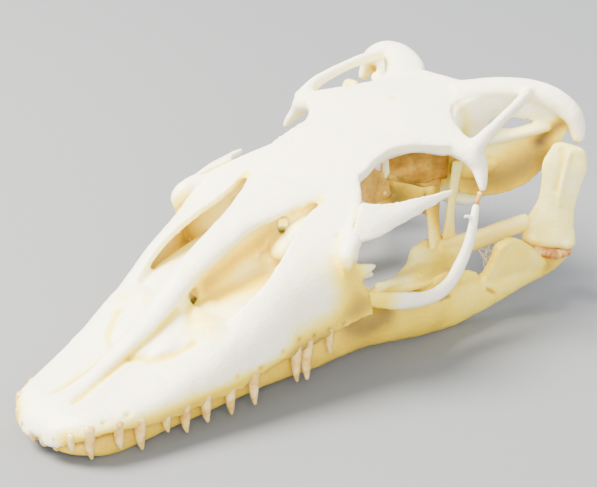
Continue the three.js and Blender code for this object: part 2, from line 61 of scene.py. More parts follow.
# Sizes in millimetres
MM = 0.001
TIP_TO_ORIGIN = -cad_box[0].y / MM
SNOUT_WALL = 1.2
CHEEK_WALL = 1.0
ROOF_WALL = 1.8
BRAINCASE_WALL = 1.5
FLANK_WALL = 0.7
NOSE_SEPTUM_WALL = 1.8
JAW_PLATE_WALL = 1.4
PALPEBRAL_WALL = 0.75
PTERYGOID_WALL = 0.9
MEMBRANE_WALL = 0.35
BONE_GRAIN = 0.33  # edge of the cells that bones are fused with
FINE_GRAIN = 0.26
ROD_SIDES = 16
ROD_STEPS = 5  # rings between two stations
THINNEST_ROD = 0.05
END_BULGE = 0.6  # how far a rod's end stands out, in its own half widths
END_RINGS = [(0.55, 0.95), (0.85, 0.55)]  # share of the rod's width, and of the bulge
CREASE_ROUNDING = (0.5, -0.47)  # smooths, then swells back by nearly as much
UP = Vector((0, 0, 1))
BACK = Vector((0, 1, 0))
SEED = 7


# Shape tools
def spline(stations, steps):
    """Smooth line through the stations, with the same number of steps between any two."""
    knots = np.array(stations, float)
    knots = np.vstack([2 * knots[0] - knots[1], knots, 2 * knots[-1] - knots[-2]])
    spans = np.linalg.norm(np.diff(knots[:, :3], axis=0), axis=1) ** 0.5
    line = []
    for place in np.linspace(0, len(stations) - 1, steps + 1):
        first = min(int(place), len(stations) - 2)
        a, b, c, d = knots[first:first + 4]
        before, here, after = spans[first:first + 3]
        leave = ((b - a) / before - (c - a) / (before + here) + (c - b) / here) * here
        arrive = ((c - b) / here - (d - b) / (here + after) + (d - c) / after) * here
        t = place - first
        line.append((2 * t**3 - 3 * t**2 + 1) * b + (t**3 - 2 * t**2 + t) * leave
                    + (3 * t**2 - 2 * t**3) * c + (t**3 - t**2) * arrive)
    return np.array(line)


def ring_place(centre, along, up, half_width, half_height):
    """Matrix that turns a unit circle into an elliptical section across a rod."""
    high = (up - along * up.dot(along)).normalized()
    turn = Matrix((along.cross(high), high, along)).transposed().to_4x4()
    return Matrix.Translation(centre) @ turn @ Matrix.Diagonal((half_width, half_height, 1, 1))


def ring_edges(verts):
    """Edges that join the vertices of one ring."""
    ring = set(verts)
    return list({e for v in verts for e in v.link_edges if e.other_vert(v) in ring})


def rod(bm, stations, up=UP, sides=ROD_SIDES, steps=None, bulge=END_BULGE):
    """Bone rod with rounded ends. A station is x, y, z, half width and half height."""
    line = spline(stations, steps or ROD_STEPS * (len(stations) - 1))
    centres = [Vector(row[:3]) for row in line]
    tangents = [(centres[min(i + 1, len(centres) - 1)] - centres[max(i - 1, 0)]).normalized()
                for i in range(len(centres))]
    sections = [(c, t, max(row[3], THINNEST_ROD), max(row[4], THINNEST_ROD))
                for c, t, row in zip(centres, tangents, line)]
    for end, sign in ((0, -1), (-1, 1)):
        centre, along, wide, high = sections[end]
        reach = sign * bulge * min(wide, high)
        caps = [(centre + along * reach * out, along, wide * size, high * size) for size, out in END_RINGS]
        sections = caps + sections if sign < 0 else sections + caps[::-1]
    places = [ring_place(centre, along, up, wide, high) for centre, along, wide, high in sections]
    verts = bmesh.ops.create_circle(bm, segments=sides, radius=1, cap_ends=True, matrix=places[0])["verts"]
    for before, after in pairwise(places):
        grown = bmesh.ops.extrude_edge_only(bm, edges=ring_edges(verts))["geom"]
        verts = [g for g in grown if isinstance(g, bmesh.types.BMVert)]
        bmesh.ops.transform(bm, matrix=after @ before.inverted(), verts=verts)
    bmesh.ops.contextual_create(bm, geom=ring_edges(verts))


def shell(bm, rows, wall, across, along, flip=False):
    """Smooth sheet of bone through rows of points, with its wall on the inner side."""
    wide_rows = [spline(row, across) for row in rows]
    columns = [spline([row[i] for row in wide_rows], along) for i in range(across + 1)]
    verts = bmesh.ops.create_grid(bm, x_segments=across, y_segments=along, size=1)["verts"]
    for v in verts:
        column = round((v.co.x + 1) / 2 * across)
        row = round((v.co.y + 1) / 2 * along)
        v.co = columns[column][row]
    faces = list({f for v in verts for f in v.link_faces})
    for f in faces:
        f.normal_update()
    for v in verts:
        v.normal_update()
    normals = {tuple(v.co): v.normal.copy() for v in verts}
    grown = bmesh.ops.extrude_face_region(bm, geom=faces, use_keep_orig=True)["geom"]
    for v in (g for g in grown if isinstance(g, bmesh.types.BMVert)):
        v.co += normals[tuple(v.co)] * wall * (-1 if flip else 1)


def lump(bm, centre, radii, heading=(0, 1, 0)):
    """Rounded lump whose third radius lies along the heading."""
    turn = Vector(heading).to_track_quat("Z", "Y").to_matrix().to_4x4()
    place = Matrix.Translation(centre) @ turn @ Matrix.Diagonal((*radii, 1))
    bmesh.ops.create_icosphere(bm, subdivisions=3, radius=1, matrix=place)


def both_sides(bm):
    """Adds the mirror image of everything in the mesh, for the animal's right side."""
    copy = bmesh.ops.duplicate(bm, geom=bm.verts[:] + bm.edges[:] + bm.faces[:])["geom"]
    bmesh.ops.scale(bm, vec=(-1, 1, 1), verts=[g for g in copy if isinstance(g, bmesh.types.BMVert)])
    bmesh.ops.reverse_faces(bm, faces=[g for g in copy if isinstance(g, bmesh.types.BMFace)])


def mirror_row(half):
    """Whole row across the skull, from its left half."""
    return [*half, *[(-x, y, z) for x, y, z in half[-2::-1]]]


def mirrored(stations):
    """The same stations on the animal's right side."""
    return [(-x, *rest) for x, *rest in stations]


def piece_from(bm, name):
    """Object with the mesh's outside facing out."""
    bmesh.ops.recalc_face_normals(bm, faces=bm.faces[:])
    mesh = bpy.data.meshes.new(name)
    bm.to_mesh(mesh)
    bm.free()
    piece = bpy.data.objects.new(name, mesh)
    bpy.context.scene.collection.objects.link(piece)
    return piece


def bake_modifiers(piece):
    """Applies the piece's modifiers to its mesh."""
    graph = bpy.context.evaluated_depsgraph_get()
    baked = bpy.data.meshes.new_from_object(piece.evaluated_get(graph))
    old = piece.data
    piece.modifiers.clear()
    piece.data = baked
    bpy.data.meshes.remove(old)


def fuse(bm, name, grain=BONE_GRAIN, rounds=6):
    """Grows the overlapping shapes of a bone into one skin and rounds its creases."""
    piece = piece_from(bm, name)
    remesh = piece.modifiers.new("Remesh", "REMESH")
    remesh.mode = "VOXEL"
    remesh.voxel_size = grain
    for _ in range(rounds):
        for factor in CREASE_ROUNDING:
            smooth = piece.modifiers.new("Smooth", "SMOOTH")
            smooth.factor = factor
            smooth.iterations = 2
    bake_modifiers(piece)
    return piece


# Cranium
def snout_roof(bm):
    """Arch from one tooth row over the top to the other, back to the nostrils."""
    half_arches = {
        0.0: [(1.1, 2.1), (1.2, 2.6), (1.0, 3.1), (0.5, 3.3), (0, 3.35)],
        0.5: [(3.0, 2.2), (3.2, 3.0), (2.7, 4.0), (1.4, 4.4), (0, 4.5)],
        1.8: [(5.1, 3.0), (5.4, 3.8), (4.5, 4.9), (2.4, 5.4), (0, 5.6)],
        3.6: [(6.7, 3.8), (6.95, 4.5), (5.9, 5.6), (3.1, 6.1), (0, 6.4)],
        6.6: [(7.9, 3.9), (8.15, 4.7), (7.0, 5.9), (3.3, 6.5), (0, 7.0)],
        10: [(8.9, 3.5), (9.15, 4.8), (8.0, 6.3), (3.0, 7.1), (0, 8.0)],
        14: [(9.8, 3.5), (10.1, 5.2), (8.8, 7.2), (2.7, 8.2), (0, 9.7)],
        18: [(10.6, 3.9), (10.9, 6.2), (9.3, 8.6), (2.6, 9.8), (0, 11.7)],
        22: [(11.5, 4.2), (11.8, 7.3), (10.0, 10.3), (2.6, 11.6), (0, 14.0)],
        24.9: [(12.2, 4.7), (12.3, 8.0), (10.2, 11.4), (2.6, 12.8), (0, 15.6)],
    }
    rows = [mirror_row([(x, y, z) for x, z in half]) for y, half in half_arches.items()]
    shell(bm, rows, SNOUT_WALL, across=32, along=36)
    for side in (-1, 1):
        dome = (side * 3.5, 18.6, 8.95)
        lump(bm, dome, (1.9, 1.25, 3.1), heading=(side * 0.15, 1, 0.4))


def nasal_bar(bm):
    """Midline bar between the nostrils, from the premaxilla to the frontals."""
    rod(bm, [
        (0, 7, 6.3, 0.9, 0.6), (0, 14, 8.8, 1.5, 0.9), (0, 20, 11.7, 1.9, 1.2), (0, 25.2, 15.1, 2.1, 1.4),
        (0, 31, 18.0, 2.4, 1.4), (0, 36, 20.0, 2.9, 1.3), (0, 40.5, 21.2, 4.4, 1.2), (0, 45, 22.6, 6.0, 1.1),
    ])


ROOF_FALL = [(1, 1), (0.72, 0.4), (0.35, 0.08), (0, 0)]  # share of the half width, and of the fall


def skull_table(bm):
    """Frontals and parietal in one plate: half widths, and heights at the midline and the edge."""
    stations = [
        (40.5, 4.6, 21.9, 20.9), (44, 6.2, 23.1, 22.3), (48, 7.5, 24.6, 23.9), (52, 8.0, 25.8, 25.2),
        (55, 7.7, 26.7, 26.1), (58.4, 7.9, 27.6, 26.7), (61.4, 9.8, 28.3, 26.9), (63.8, 12.4, 28.8, 26.8),
        (66.6, 14.4, 29.3, 27.0), (69.4, 9.6, 29.7, 28.6), (73, 7.1, 30.0, 29.3), (76.5, 7.4, 30.3, 29.6),
        (79.4, 8.8, 30.5, 30.1),
    ]
    rows = [mirror_row([
        (half * out, y, middle - (middle - edge) * fall) for out, fall in ROOF_FALL
    ]) for y, half, middle, edge in stations]
    shell(bm, rows, ROOF_WALL, across=24, along=48)


def braincase(bm):
    """Walls of the braincase, open at the front and narrowed to the foramen magnum behind."""
    outline = spline([
        (0, 73.2, 22.4, 4.7, 6.0), (0, 76, 21.0, 6.2, 8.6), (0, 79.5, 20.4, 7.3, 9.2),
        (0, 83.6, 20.0, 6.0, 7.0), (0, 85.6, 19.9, 4.4, 4.6), (0, 86.2, 19.9, 3.6, 3.6),
    ], 20)
    turns = np.linspace(0, 2 * np.pi, 29)
    rows = [[(w * np.cos(turn), y, z + h * np.sin(turn)) for turn in turns] for _, y, z, w, h in outline]
    shell(bm, rows, BRAINCASE_WALL, across=28, along=20)
    rod(bm, [
        (0, 70, 16.4, 1.2, 1.0), (0, 75, 14.2, 3.0, 1.4), (0, 79.5, 12.8, 4.6, 1.8),
        (0, 85.6, 14.4, 2.6, 2.0),
    ])
    rod(bm, [
        (0, 60, 13.4, 0.35, 0.4), (0, 65, 13.2, 0.5, 0.6), (0, 70, 13.6, 0.9, 0.9), (0, 75, 14.2, 1.6, 1.2),
    ])
    rod(bm, [(0, 67.2, 26.0, 0.55, 0.5), (0, 67.4, 22.5, 0.5, 0.5), (0, 67.9, 17.6, 0.7, 0.7)], up=BACK)


def left_braincase_side(bm):
    """Basisphenoid foot and flank, the wall of the paroccipital process and the parietal's flange."""
    rod(bm, [(3.0, 79.5, 12.2, 1.6, 1.2), (4.8, 82.4, 11.6, 1.5, 1.2), (6.0, 84.4, 12.6, 1.0, 1.0)])
    rod(bm, [(3.6, 74.4, 16.4, 0.6, 1.5), (5.8, 71.6, 13.4, 0.6, 1.4),
             (7.6, 69.9, 10.4, 0.6, 1.3), (8.6, 69.4, 8.4, 0.7, 1.7)], up=BACK)
    shell(bm, [
        [(0.4, 68.4, 17.0), (2.4, 71.0, 16.2), (5.2, 72.6, 16.4)],
        [(0.6, 69.6, 13.8), (2.6, 71.8, 13.2), (5.6, 72.2, 13.2)],
        [(1.0, 71.4, 11.8), (3.0, 73.0, 11.0), (5.9, 72.6, 10.8)],
    ], FLANK_WALL, across=12, along=10)
    rod(bm, [
        (5.6, 78.0, 18.6, 1.2, 5.0), (9.4, 80.9, 18.9, 0.9, 5.3), (12.2, 83.1, 20.2, 0.8, 4.6),
        (14.6, 85.2, 22.6, 0.8, 2.9), (17.0, 87.0, 25.6, 0.9, 1.3),
    ], sides=24)
    rod(bm, [(6.4, 76.2, 19.4, 1.2, 2.4), (8.6, 79.2, 18.6, 1.0, 2.0), (10.0, 80.4, 19.4, 0.9, 1.0)])
    rod(bm, [(8.4, 79.4, 22.6, 1.2, 1.0), (12.0, 82.4, 23.6, 1.1, 0.9), (15.6, 85.2, 25.0, 1.2, 1.0)])
    shell(bm, [
        [(12.4, 68.0, 27.2), (9.4, 70.4, 28.2), (7.6, 74.0, 28.9), (8.6, 78.8, 29.5)],
        [(11.8, 69.0, 26.2), (9.4, 71.6, 26.6), (8.4, 75.0, 26.4), (9.2, 79.6, 26.2)],
        [(10.4, 70.2, 24.0), (8.4, 73.0, 23.4), (7.6, 76.3, 22.6), (8.0, 80.4, 22.4)],
    ], CHEEK_WALL, across=24, along=14)
    shell(bm, [
        [(7.6, 74.0, 28.9), (8.2, 75.0, 27.2), (8.2, 75.4, 26.0)],
        [(8.8, 78.8, 29.3), (9.4, 79.4, 27.4), (9.2, 79.6, 25.8)],
        [(11.6, 82.2, 29.0), (11.8, 82.2, 27.2), (11.4, 82.1, 25.8)],
        [(16.8, 85.8, 27.4), (16.8, 85.9, 26.4), (16.4, 86.0, 25.4)],
    ], CHEEK_WALL, across=12, along=24, flip=True)


def left_cheek(bm):
    """Maxilla, lacrimal and prefrontal, with the front rim of the orbit turned inwards."""
    shell(bm, [
        [(11.8, 23.4, 4.7), (11.9, 23.4, 7.0), (11.3, 23.4, 9.2), (10.3, 23.4, 10.4), (9.2, 23.5, 11.0),
         (7.8, 23.6, 11.4)],
        [(13.0, 29.8, 6.1), (13.3, 29.8, 8.6), (12.8, 29.8, 11.4), (11.8, 30.0, 13.6), (10.6, 30.1, 14.9),
         (9.1, 30.2, 15.6)],
        [(13.8, 35.0, 7.0), (14.0, 35.0, 9.6), (13.7, 35.0, 12.8), (12.6, 35.0, 15.6), (10.8, 35.1, 17.4),
         (8.5, 35.2, 18.4)],
        [(14.6, 39.6, 7.8), (14.9, 39.6, 10.6), (14.7, 39.2, 14.6), (13.2, 39.8, 18.0), (10.4, 40.0, 19.8),
         (7.0, 40.3, 20.9)],
        [(15.4, 43.0, 8.5), (15.6, 42.4, 11.6), (15.1, 40.6, 16.8), (13.6, 42.4, 19.8), (10.8, 44.2, 21.6),
         (6.8, 45.0, 22.8)],
        [(15.9, 45.2, 9.0), (15.9, 43.9, 12.8), (15.0, 40.2, 18.3), (13.4, 44.2, 20.6), (11.0, 47.8, 22.8),
         (7.6, 51.2, 25.0)],
        [(15.0, 44.8, 9.8), (15.0, 43.0, 12.9), (14.2, 39.9, 17.8), (12.6, 43.0, 19.8), (10.2, 46.6, 21.2),
         (7.2, 49.6, 22.6)],
    ], CHEEK_WALL, across=30, along=42)
    shell(bm, [
        [(13.5, 41.9, 17.8), (11.4, 44.2, 19.0), (9.2, 46.0, 20.4), (7.0, 48.8, 22.2)],
        [(14.2, 41.6, 14.0), (11.8, 42.4, 14.2), (9.4, 43.8, 14.8), (7.0, 46.2, 15.4)],
        [(14.6, 42.8, 10.4), (12.2, 42.8, 9.8), (9.8, 43.6, 9.4), (7.4, 45.4, 9.4)],
    ], CHEEK_WALL, across=18, along=18)
    rod(bm, [(14.7, 41.4, 15.4, 0.5, 1.8), (15.3, 43.2, 15.6, 0.45, 1.1), (15.6, 45.3, 15.7, 0.28, 0.28)])


def left_bars(bm):
    """Frontal keel, postorbital spike, temporal arch and supratemporal process."""
    rod(bm, [
        (3.4, 43, 20.4, 1.2, 1.3), (3.8, 50, 22.6, 1.2, 1.5), (4.6, 57, 24.6, 1.3, 1.4),
        (7.6, 62.4, 26.0, 1.5, 1.2), (11.4, 65.4, 25.8, 1.6, 1.2),
    ])
    rod(bm, [
        (12.2, 66.2, 26.2, 1.5, 1.8), (14.9, 66.8, 25.4, 1.6, 1.9), (16.2, 66.9, 23.8, 1.0, 1.5),
        (17.2, 66.4, 22.3, 0.7, 1.0), (17.8, 65.9, 21.2, 0.4, 0.55),
    ], up=BACK)
    rod(bm, [
        (15.2, 66.4, 26.0, 1.3, 1.3), (15.3, 70, 27.7, 0.8, 1.0), (14.7, 75, 28.9, 0.7, 0.8),
        (13.8, 80, 29.6, 0.75, 0.85), (12.6, 84, 29.9, 0.9, 1.0),
    ])
    rod(bm, [
        (4.2, 77.0, 29.4, 2.8, 1.2), (8.2, 82.0, 29.7, 2.6, 1.4), (12.0, 84.8, 29.6, 2.2, 1.6),
        (15.6, 86.2, 28.6, 1.8, 1.8), (18.2, 87.0, 26.9, 1.6, 1.6),
        (19.2, 87.2, 25.2, 1.3, 1.2), (19.7, 87.0, 23.6, 0.9, 0.9),
    ])


def left_palate(bm):
    """Vomer and palatine, the maxilla's shelf, a strut between them, and the nose's floor."""
    rod(bm, [
        (1.5, 4.6, 4.9, 1.1, 0.6), (1.7, 13, 5.6, 1.3, 0.6), (2.2, 24, 6.9, 1.5, 0.7),
        (3.4, 34, 8.2, 1.8, 0.8), (4.8, 44, 9.0, 2.2, 0.8), (6.2, 55.6, 8.5, 1.9, 0.7),
    ])
    rod(bm, [
        (6.3, 7, 5.2, 1.6, 0.6), (7.4, 16, 6.1, 2.2, 0.7), (9.0, 26, 8.0, 2.4, 0.8),
        (10.4, 35, 9.4, 2.7, 0.8), (11.6, 42, 10.5, 2.9, 0.8), (13.6, 46.5, 10.8, 1.7, 0.8),
    ])
    rod(bm, [(4.8, 44, 9.2, 2.4, 0.8), (11.6, 43.4, 10.4, 2.0, 0.8)])
    rod(bm, [
        (5.2, 22, 8.6, 1.8, 1.2), (5.8, 27, 9.4, 2.3, 1.5), (6.8, 34, 11.2, 2.4, 1.7),
        (8.0, 41, 13.0, 2.3, 1.9), (8.6, 45, 13.6, 1.8, 1.6),
    ])
    rod(bm, [
        (5.4, 26.4, 11.1, 2.8, 1.3), (5.6, 28.6, 11.5, 3.7, 1.6), (6.0, 31.5, 11.7, 4.2, 1.8),
        (6.4, 35.5, 12.3, 4.0, 1.9), (7.0, 40, 13.4, 3.2, 1.8),
    ], sides=24)
    rod(bm, [
        (2.4, 27.6, 11.6, 1.4, 1.2), (2.8, 31, 12.0, 1.7, 1.3), (3.2, 36, 12.8, 1.7, 1.3),
        (3.6, 41, 13.6, 1.6, 1.2),
    ])
    rod(bm, [
        (1.2, 28.4, 13.0, 0.7, 0.8), (1.3, 31, 13.7, 0.9, 0.9), (1.4, 36, 14.0, 1.1, 1.0),
        (1.8, 40.4, 14.2, 1.0, 1.0),
    ])
    lump(bm, (5.8, 25.0, 11.0), (3.6, 1.2, 2.4), heading=(0, 1, -0.2))
    lump(bm, (3.6, 38.6, 14.9), (1.7, 1.4, 2.0))
    lump(bm, (3.6, 27.2, 11.3), (2.8, 1.5, 2.6))
    lump(bm, (3.6, 41.0, 16.4), (1.8, 1.3, 2.4))
    rod(bm, [(7.0, 43.6, 17.6, 1.6, 1.8), (3.4, 46.0, 18.6, 1.2, 1.5), (1.0, 47.0, 19.6, 0.8, 1.2)])


def nose_septum(bm):
    """Dried septum under the nasal bar, and the two lobes that show in the left nostril alone."""
    shell(bm, [
        [(0, 26.4, 14.6), (0, 26.6, 13.4), (0, 26.8, 12.4)],
        [(0, 31.0, 17.2), (0, 31.0, 15.2), (0, 31.0, 13.2)],
        [(0, 36.0, 19.2), (0, 36.0, 16.6), (0, 36.0, 14.0)],
        [(0, 42.0, 20.8), (0, 42.0, 17.6), (0, 42.0, 14.6)],
    ], NOSE_SEPTUM_WALL, across=12, along=24)
    lump(bm, (5.4, 39.4, 17.2), (1.9, 1.2, 2.6), heading=(0, 1, 0.45))
    lump(bm, (6.0, 42.2, 18.9), (2.4, 1.5, 2.8), heading=(0.2, 1, 0.3))


def front_bead(bm):
    """Rounded rim of the premaxilla that the front teeth stand in."""
    rod(bm, [
        (-5.4, 2.9, 3.9, 0.7, 0.7), (-3.0, 1.5, 3.4, 0.65, 0.65), (0, 0.75, 3.1, 0.6, 0.65),
        (3.0, 1.5, 3.4, 0.65, 0.65), (5.4, 2.9, 3.9, 0.7, 0.7),
    ])


def cranium():
    """All the bones that have knitted together, in one skin."""
    bm = bmesh.new()
    for part in (left_cheek, left_bars, left_palate, left_braincase_side):
        part(bm)
    both_sides(bm)
    for part in (snout_roof, nasal_bar, nose_septum, skull_table, braincase, front_bead):
        part(bm)
    return fuse(bm, "cranium_bone")


# Teeth: how far back, half width of the row, heights of the root and the tip, half width of the peg
UPPER_TEETH = [
    (0.55, 1.2, 2.9, 1.5, 0.38), (0.85, 3.0, 3.0, 1.5, 0.4), (1.7, 4.9, 3.6, 1.7, 0.42),
    (3.3, 6.3, 4.4, 0.7, 0.62), (6.6, 7.9, 4.4, 1.3, 0.55), (9.4, 8.7, 4.2, 0.4, 0.62),
    (13.1, 9.5, 4.2, 1.6, 0.5), (15.8, 10.1, 4.3, 0.7, 0.58), (18.9, 10.7, 4.6, 1.1, 0.58),
    (22.6, 11.4, 4.9, 1.0, 0.58), (26.1, 12.2, 5.4, 1.3, 0.58), (33.1, 13.2, 7.2, 2.3, 0.6),
    (34.9, 13.4, 7.4, 2.0, 0.72), (38.6, 14.2, 8.0, 4.6, 0.5),
]


def upper_teeth():
    """Pegs that narrow to a blunt tip and lean back a little."""
    bm = bmesh.new()
    for y, x, root, tip, radius in UPPER_TEETH:
        drop = root - tip
        rod(bm, [
            (x - 0.35, y, root + 0.5, radius * 1.3, radius * 1.3),
            (x - 0.33, y, root - drop * 0.3, radius * 1.15, radius * 1.2),
            (x - 0.3, y + 0.1, root - drop * 0.68, radius * 0.8, radius * 0.9),
            (x - 0.25, y + 0.3, tip + 0.12, radius * 0.34, radius * 0.4),
        ], up=BACK, sides=12)
    both_sides(bm)
    return piece_from(bm, "upper_teeth")


# Lower jaw
LEFT_JAW = [
    (0.8, 1.8, 1.75, 0.6, 0.55), (2.7, 2.1, 1.75, 0.8, 0.75), (4.5, 3.4, 1.8, 0.95, 1.05),
    (5.7, 5.5, 1.75, 1.0, 1.55), (6.3, 8.4, 1.75, 1.05, 1.75), (7.5, 14.5, 2.5, 1.15, 1.75),
    (8.6, 21.5, 3.2, 1.2, 2.0), (10.2, 31.8, 4.2, 1.3, 2.4), (11.3, 38.8, 4.3, 1.35, 2.7),
    (12.5, 46.1, 4.9, 1.45, 2.8), (13.4, 51.7, 4.8, 1.5, 3.3), (14.3, 58, 4.2, 1.6, 3.7),
    (15.2, 64.6, 3.6, 1.7, 3.6), (16.5, 70.4, 3.8, 1.7, 2.7), (18.0, 76.2, 4.9, 1.6, 2.2),
    (19.2, 82.4, 5.2, 1.4, 1.4), (19.5, 86.0, 5.6, 1.0, 0.9),
]
LOWER_TOOTH_COUNT = 11
FIRST_LOWER_TOOTH = 5.2
LOWER_TOOTH_STEP = 3.0


def left_jaw(bm):
    """Long curved bar, the coronoid's swelling on it, and the tall plate at the rear."""
    rod(bm, LEFT_JAW)
    rod(bm, [
        (14.6, 57, 6.6, 1.0, 1.5), (15.1, 61.4, 7.6, 1.0, 1.5), (15.6, 65.6, 7.2, 0.95, 1.3),
        (16.0, 68.4, 6.5, 0.8, 0.9),
    ])
    shell(bm, [
        [(16.6, 68.4, 4.6), (17.8, 72, 4.2), (19.2, 77, 4.4), (20.2, 81.4, 4.6)],
        [(17.8, 69.9, 8.0), (19.0, 73, 8.4), (20.1, 77, 7.6), (20.7, 81, 5.8)],
        [(18.6, 70.6, 11.2), (19.2, 73, 11.9), (19.9, 76.4, 10.3), (20.6, 80.2, 6.9)],
    ], JAW_PLATE_WALL, across=18, along=14, flip=True)


def lower_teeth():
    """Short pegs along the top edge of both lower jaws, mostly behind the upper row."""
    bm = bmesh.new()
    line = spline(LEFT_JAW, 200)
    for back in FIRST_LOWER_TOOTH + LOWER_TOOTH_STEP * np.arange(LOWER_TOOTH_COUNT):
        x, y, z, _, high = line[np.argmax(line[:, 1] >= back)]
        top = z + high
        rod(bm, [
            (x - 0.1, y, top - 0.8, 0.5, 0.5),
            (x - 0.1, y + 0.1, top + 0.5, 0.36, 0.38),
            (x - 0.1, y + 0.3, top + 1.3, 0.12, 0.14),
        ], up=BACK, sides=10)
    both_sides(bm)
    return piece_from(bm, "lower_teeth")


def mirrored_mesh(piece, name):
    """The animal's right copy of a left piece."""
    bm = bmesh.new()
    bm.from_mesh(piece.data)
    bmesh.ops.scale(bm, vec=(-1, 1, 1), verts=bm.verts[:])
    bmesh.ops.reverse_faces(bm, faces=bm.faces[:])
    return piece_from(bm, name)


def pair(name, build, grain=BONE_GRAIN):
    """Left bone, fused from what the function builds, and its right copy."""
    bm = bmesh.new()
    build(bm)
    left = fuse(bm, f"left_{name}", grain)
    return [left, mirrored_mesh(left, f"right_{name}")]


# Loose bones of the skull
QUADRATE_FACE = Vector((-0.55, 0.835, 0))


def left_quadrate(bm):
    """Flattened strut with a ridge down its face and a two-lobed foot."""
    rod(bm, [
        (19.2, 82.3, 8.9, 4.0, 1.5), (19.1, 82.5, 11.2, 3.6, 1.25), (19.5, 83.1, 14.6, 2.8, 0.95),
        (19.8, 83.3, 17.6, 2.9, 0.85), (20.0, 83.5, 20.6, 3.2, 0.95), (20.0, 84.4, 22.9, 2.5, 1.1),
    ], up=QUADRATE_FACE, sides=24)
    rod(bm, [
        (20.2, 82.9, 13.4, 0.5, 0.3), (20.3, 82.7, 16.4, 0.55, 0.6), (20.3, 82.9, 19.6, 0.5, 0.75),
        (20.3, 83.8, 22.6, 0.6, 0.9),
    ], up=QUADRATE_FACE)
    lump(bm, (17.2, 81.0, 9.3), (1.5, 1.0, 1.1), heading=(0.8, 0.5, 0))
    lump(bm, (21.2, 83.8, 8.9), (1.5, 1.1, 1.5), heading=(0.8, 0.5, 0))


def left_jugal(bm):
    """Curved rod from the cheek to under the postorbital spike, with a small twig near its top."""
    rod(bm, [
        (13.8, 41.4, 12.0, 0.4, 0.8), (15.5, 44.8, 11.1, 0.6, 1.15), (16.7, 47.8, 10.2, 0.7, 1.25),
        (17.3, 50.8, 9.4, 0.75, 1.2), (17.6, 54.0, 8.7, 0.75, 1.05), (17.9, 57.0, 8.6, 0.75, 1.1),
        (18.0, 59.4, 9.4, 0.75, 1.15), (18.0, 61.4, 11.2, 0.75, 1.05), (18.0, 63.0, 13.6, 0.7, 0.9),
        (17.7, 64.4, 16.6, 0.65, 0.8), (17.4, 65.2, 18.8, 0.5, 0.6),
    ])
    rod(bm, [(17.6, 64.3, 17.4, 0.25, 0.25), (17.2, 63.2, 17.9, 0.2, 0.3), (17.0, 62.8, 17.8, 0.12, 0.3)])


# Rows across the palpebral from its root in the prefrontal to its tip
PALPEBRAL = [
    [(14.2, 40.9, 19.5), (13.2, 43.2, 20.7), (11.2, 47.0, 22.4)],
    [(15.2, 45.0, 19.4), (14.3, 46.8, 20.8), (12.6, 49.0, 22.0)],
    [(15.3, 49.9, 19.9), (14.8, 50.8, 20.9), (13.5, 52.0, 21.7)],
    [(15.2, 55.5, 20.4), (15.0, 55.8, 21.0), (14.4, 56.4, 21.6)],
    [(15.1, 61.8, 21.0), (15.1, 61.9, 21.2), (15.0, 62.0, 21.4)],
]


RIGHT_PALPEBRAL = [mirrored(row) for row in PALPEBRAL[:3]]  # broken short


def palpebral(rows, name, flip):
    """Tilted blade over the eye."""
    bm = bmesh.new()
    shell(bm, rows, PALPEBRAL_WALL, across=12, along=8 * (len(rows) - 1), flip=flip)
    return fuse(bm, name, FINE_GRAIN, rounds=2)


def left_pterygoid(bm):
    """Wide plate of the palate, its arm to the quadrate and the ectopterygoid's edge."""
    shell(bm, [
        [(15.3, 45.2, 12.6), (15.8, 45.4, 12.3), (16.2, 45.6, 12.0)],
        [(13.7, 50.4, 11.0), (14.9, 50.6, 10.9), (16.0, 50.8, 10.7)],
        [(11.6, 56.0, 10.0), (13.8, 56.0, 9.6), (15.7, 56.0, 9.6)],
        [(9.2, 61.4, 9.2), (12.2, 61.2, 8.5), (15.0, 61.0, 8.6)],
        [(7.0, 65.7, 9.4), (10.4, 65.8, 8.3), (13.8, 65.6, 8.0)],
        [(6.7, 70.2, 9.5), (9.6, 70.6, 8.4), (12.2, 70.2, 7.5)],
        [(8.4, 73.8, 9.8), (10.0, 74.0, 8.8), (11.4, 74.0, 7.6)],
    ], PTERYGOID_WALL, across=16, along=42, flip=True)
    rod(bm, [
        (8.8, 69.4, 8.6, 1.0, 1.2), (10.2, 74.0, 8.3, 0.9, 1.7), (12.0, 76.9, 9.0, 0.8, 1.6),
        (14.0, 78.6, 10.3, 0.8, 1.5), (16.4, 80.6, 11.6, 0.8, 1.4),
    ])
    rod(bm, [
        (15.9, 45.3, 12.9, 0.35, 0.5), (15.9, 47.6, 12.4, 0.5, 0.55), (15.2, 50.6, 11.4, 0.8, 0.6),
        (13.8, 55.0, 10.0, 1.1, 0.6), (12.2, 59.4, 8.8, 1.3, 0.7), (10.8, 63.4, 7.9, 1.4, 0.7),
    ])


def left_epipterygoid(bm):
    """Thin column from the pterygoid up to the side of the braincase."""
    rod(bm, [
        (9.0, 71.6, 9.6, 0.6, 1.5), (8.6, 72.1, 13.0, 0.5, 0.9), (8.2, 73.0, 16.4, 0.5, 0.9),
        (7.7, 74.4, 20.0, 0.5, 1.3),
    ], up=BACK)


# Dried tissue
def left_jaw_ligament(bm):
    """Sinew packed between the quadrate's foot and the jaw."""
    rod(bm, [
        (16.8, 80.9, 7.9, 0.9, 0.6), (18.5, 82.1, 7.3, 1.4, 0.9), (20.4, 83.6, 7.1, 1.3, 0.9),
        (21.6, 84.6, 7.3, 0.8, 0.6),
    ])


FIBRE_COUNT = 9
FIBRE_SAG = 0.35
FIBRE = (0.07, 0.07)  # half width and half height
CROSS_FIBRE = (0.05, 0.05)
FIBRE_ENDS = 20  # steps along the bone that a fibre may start from


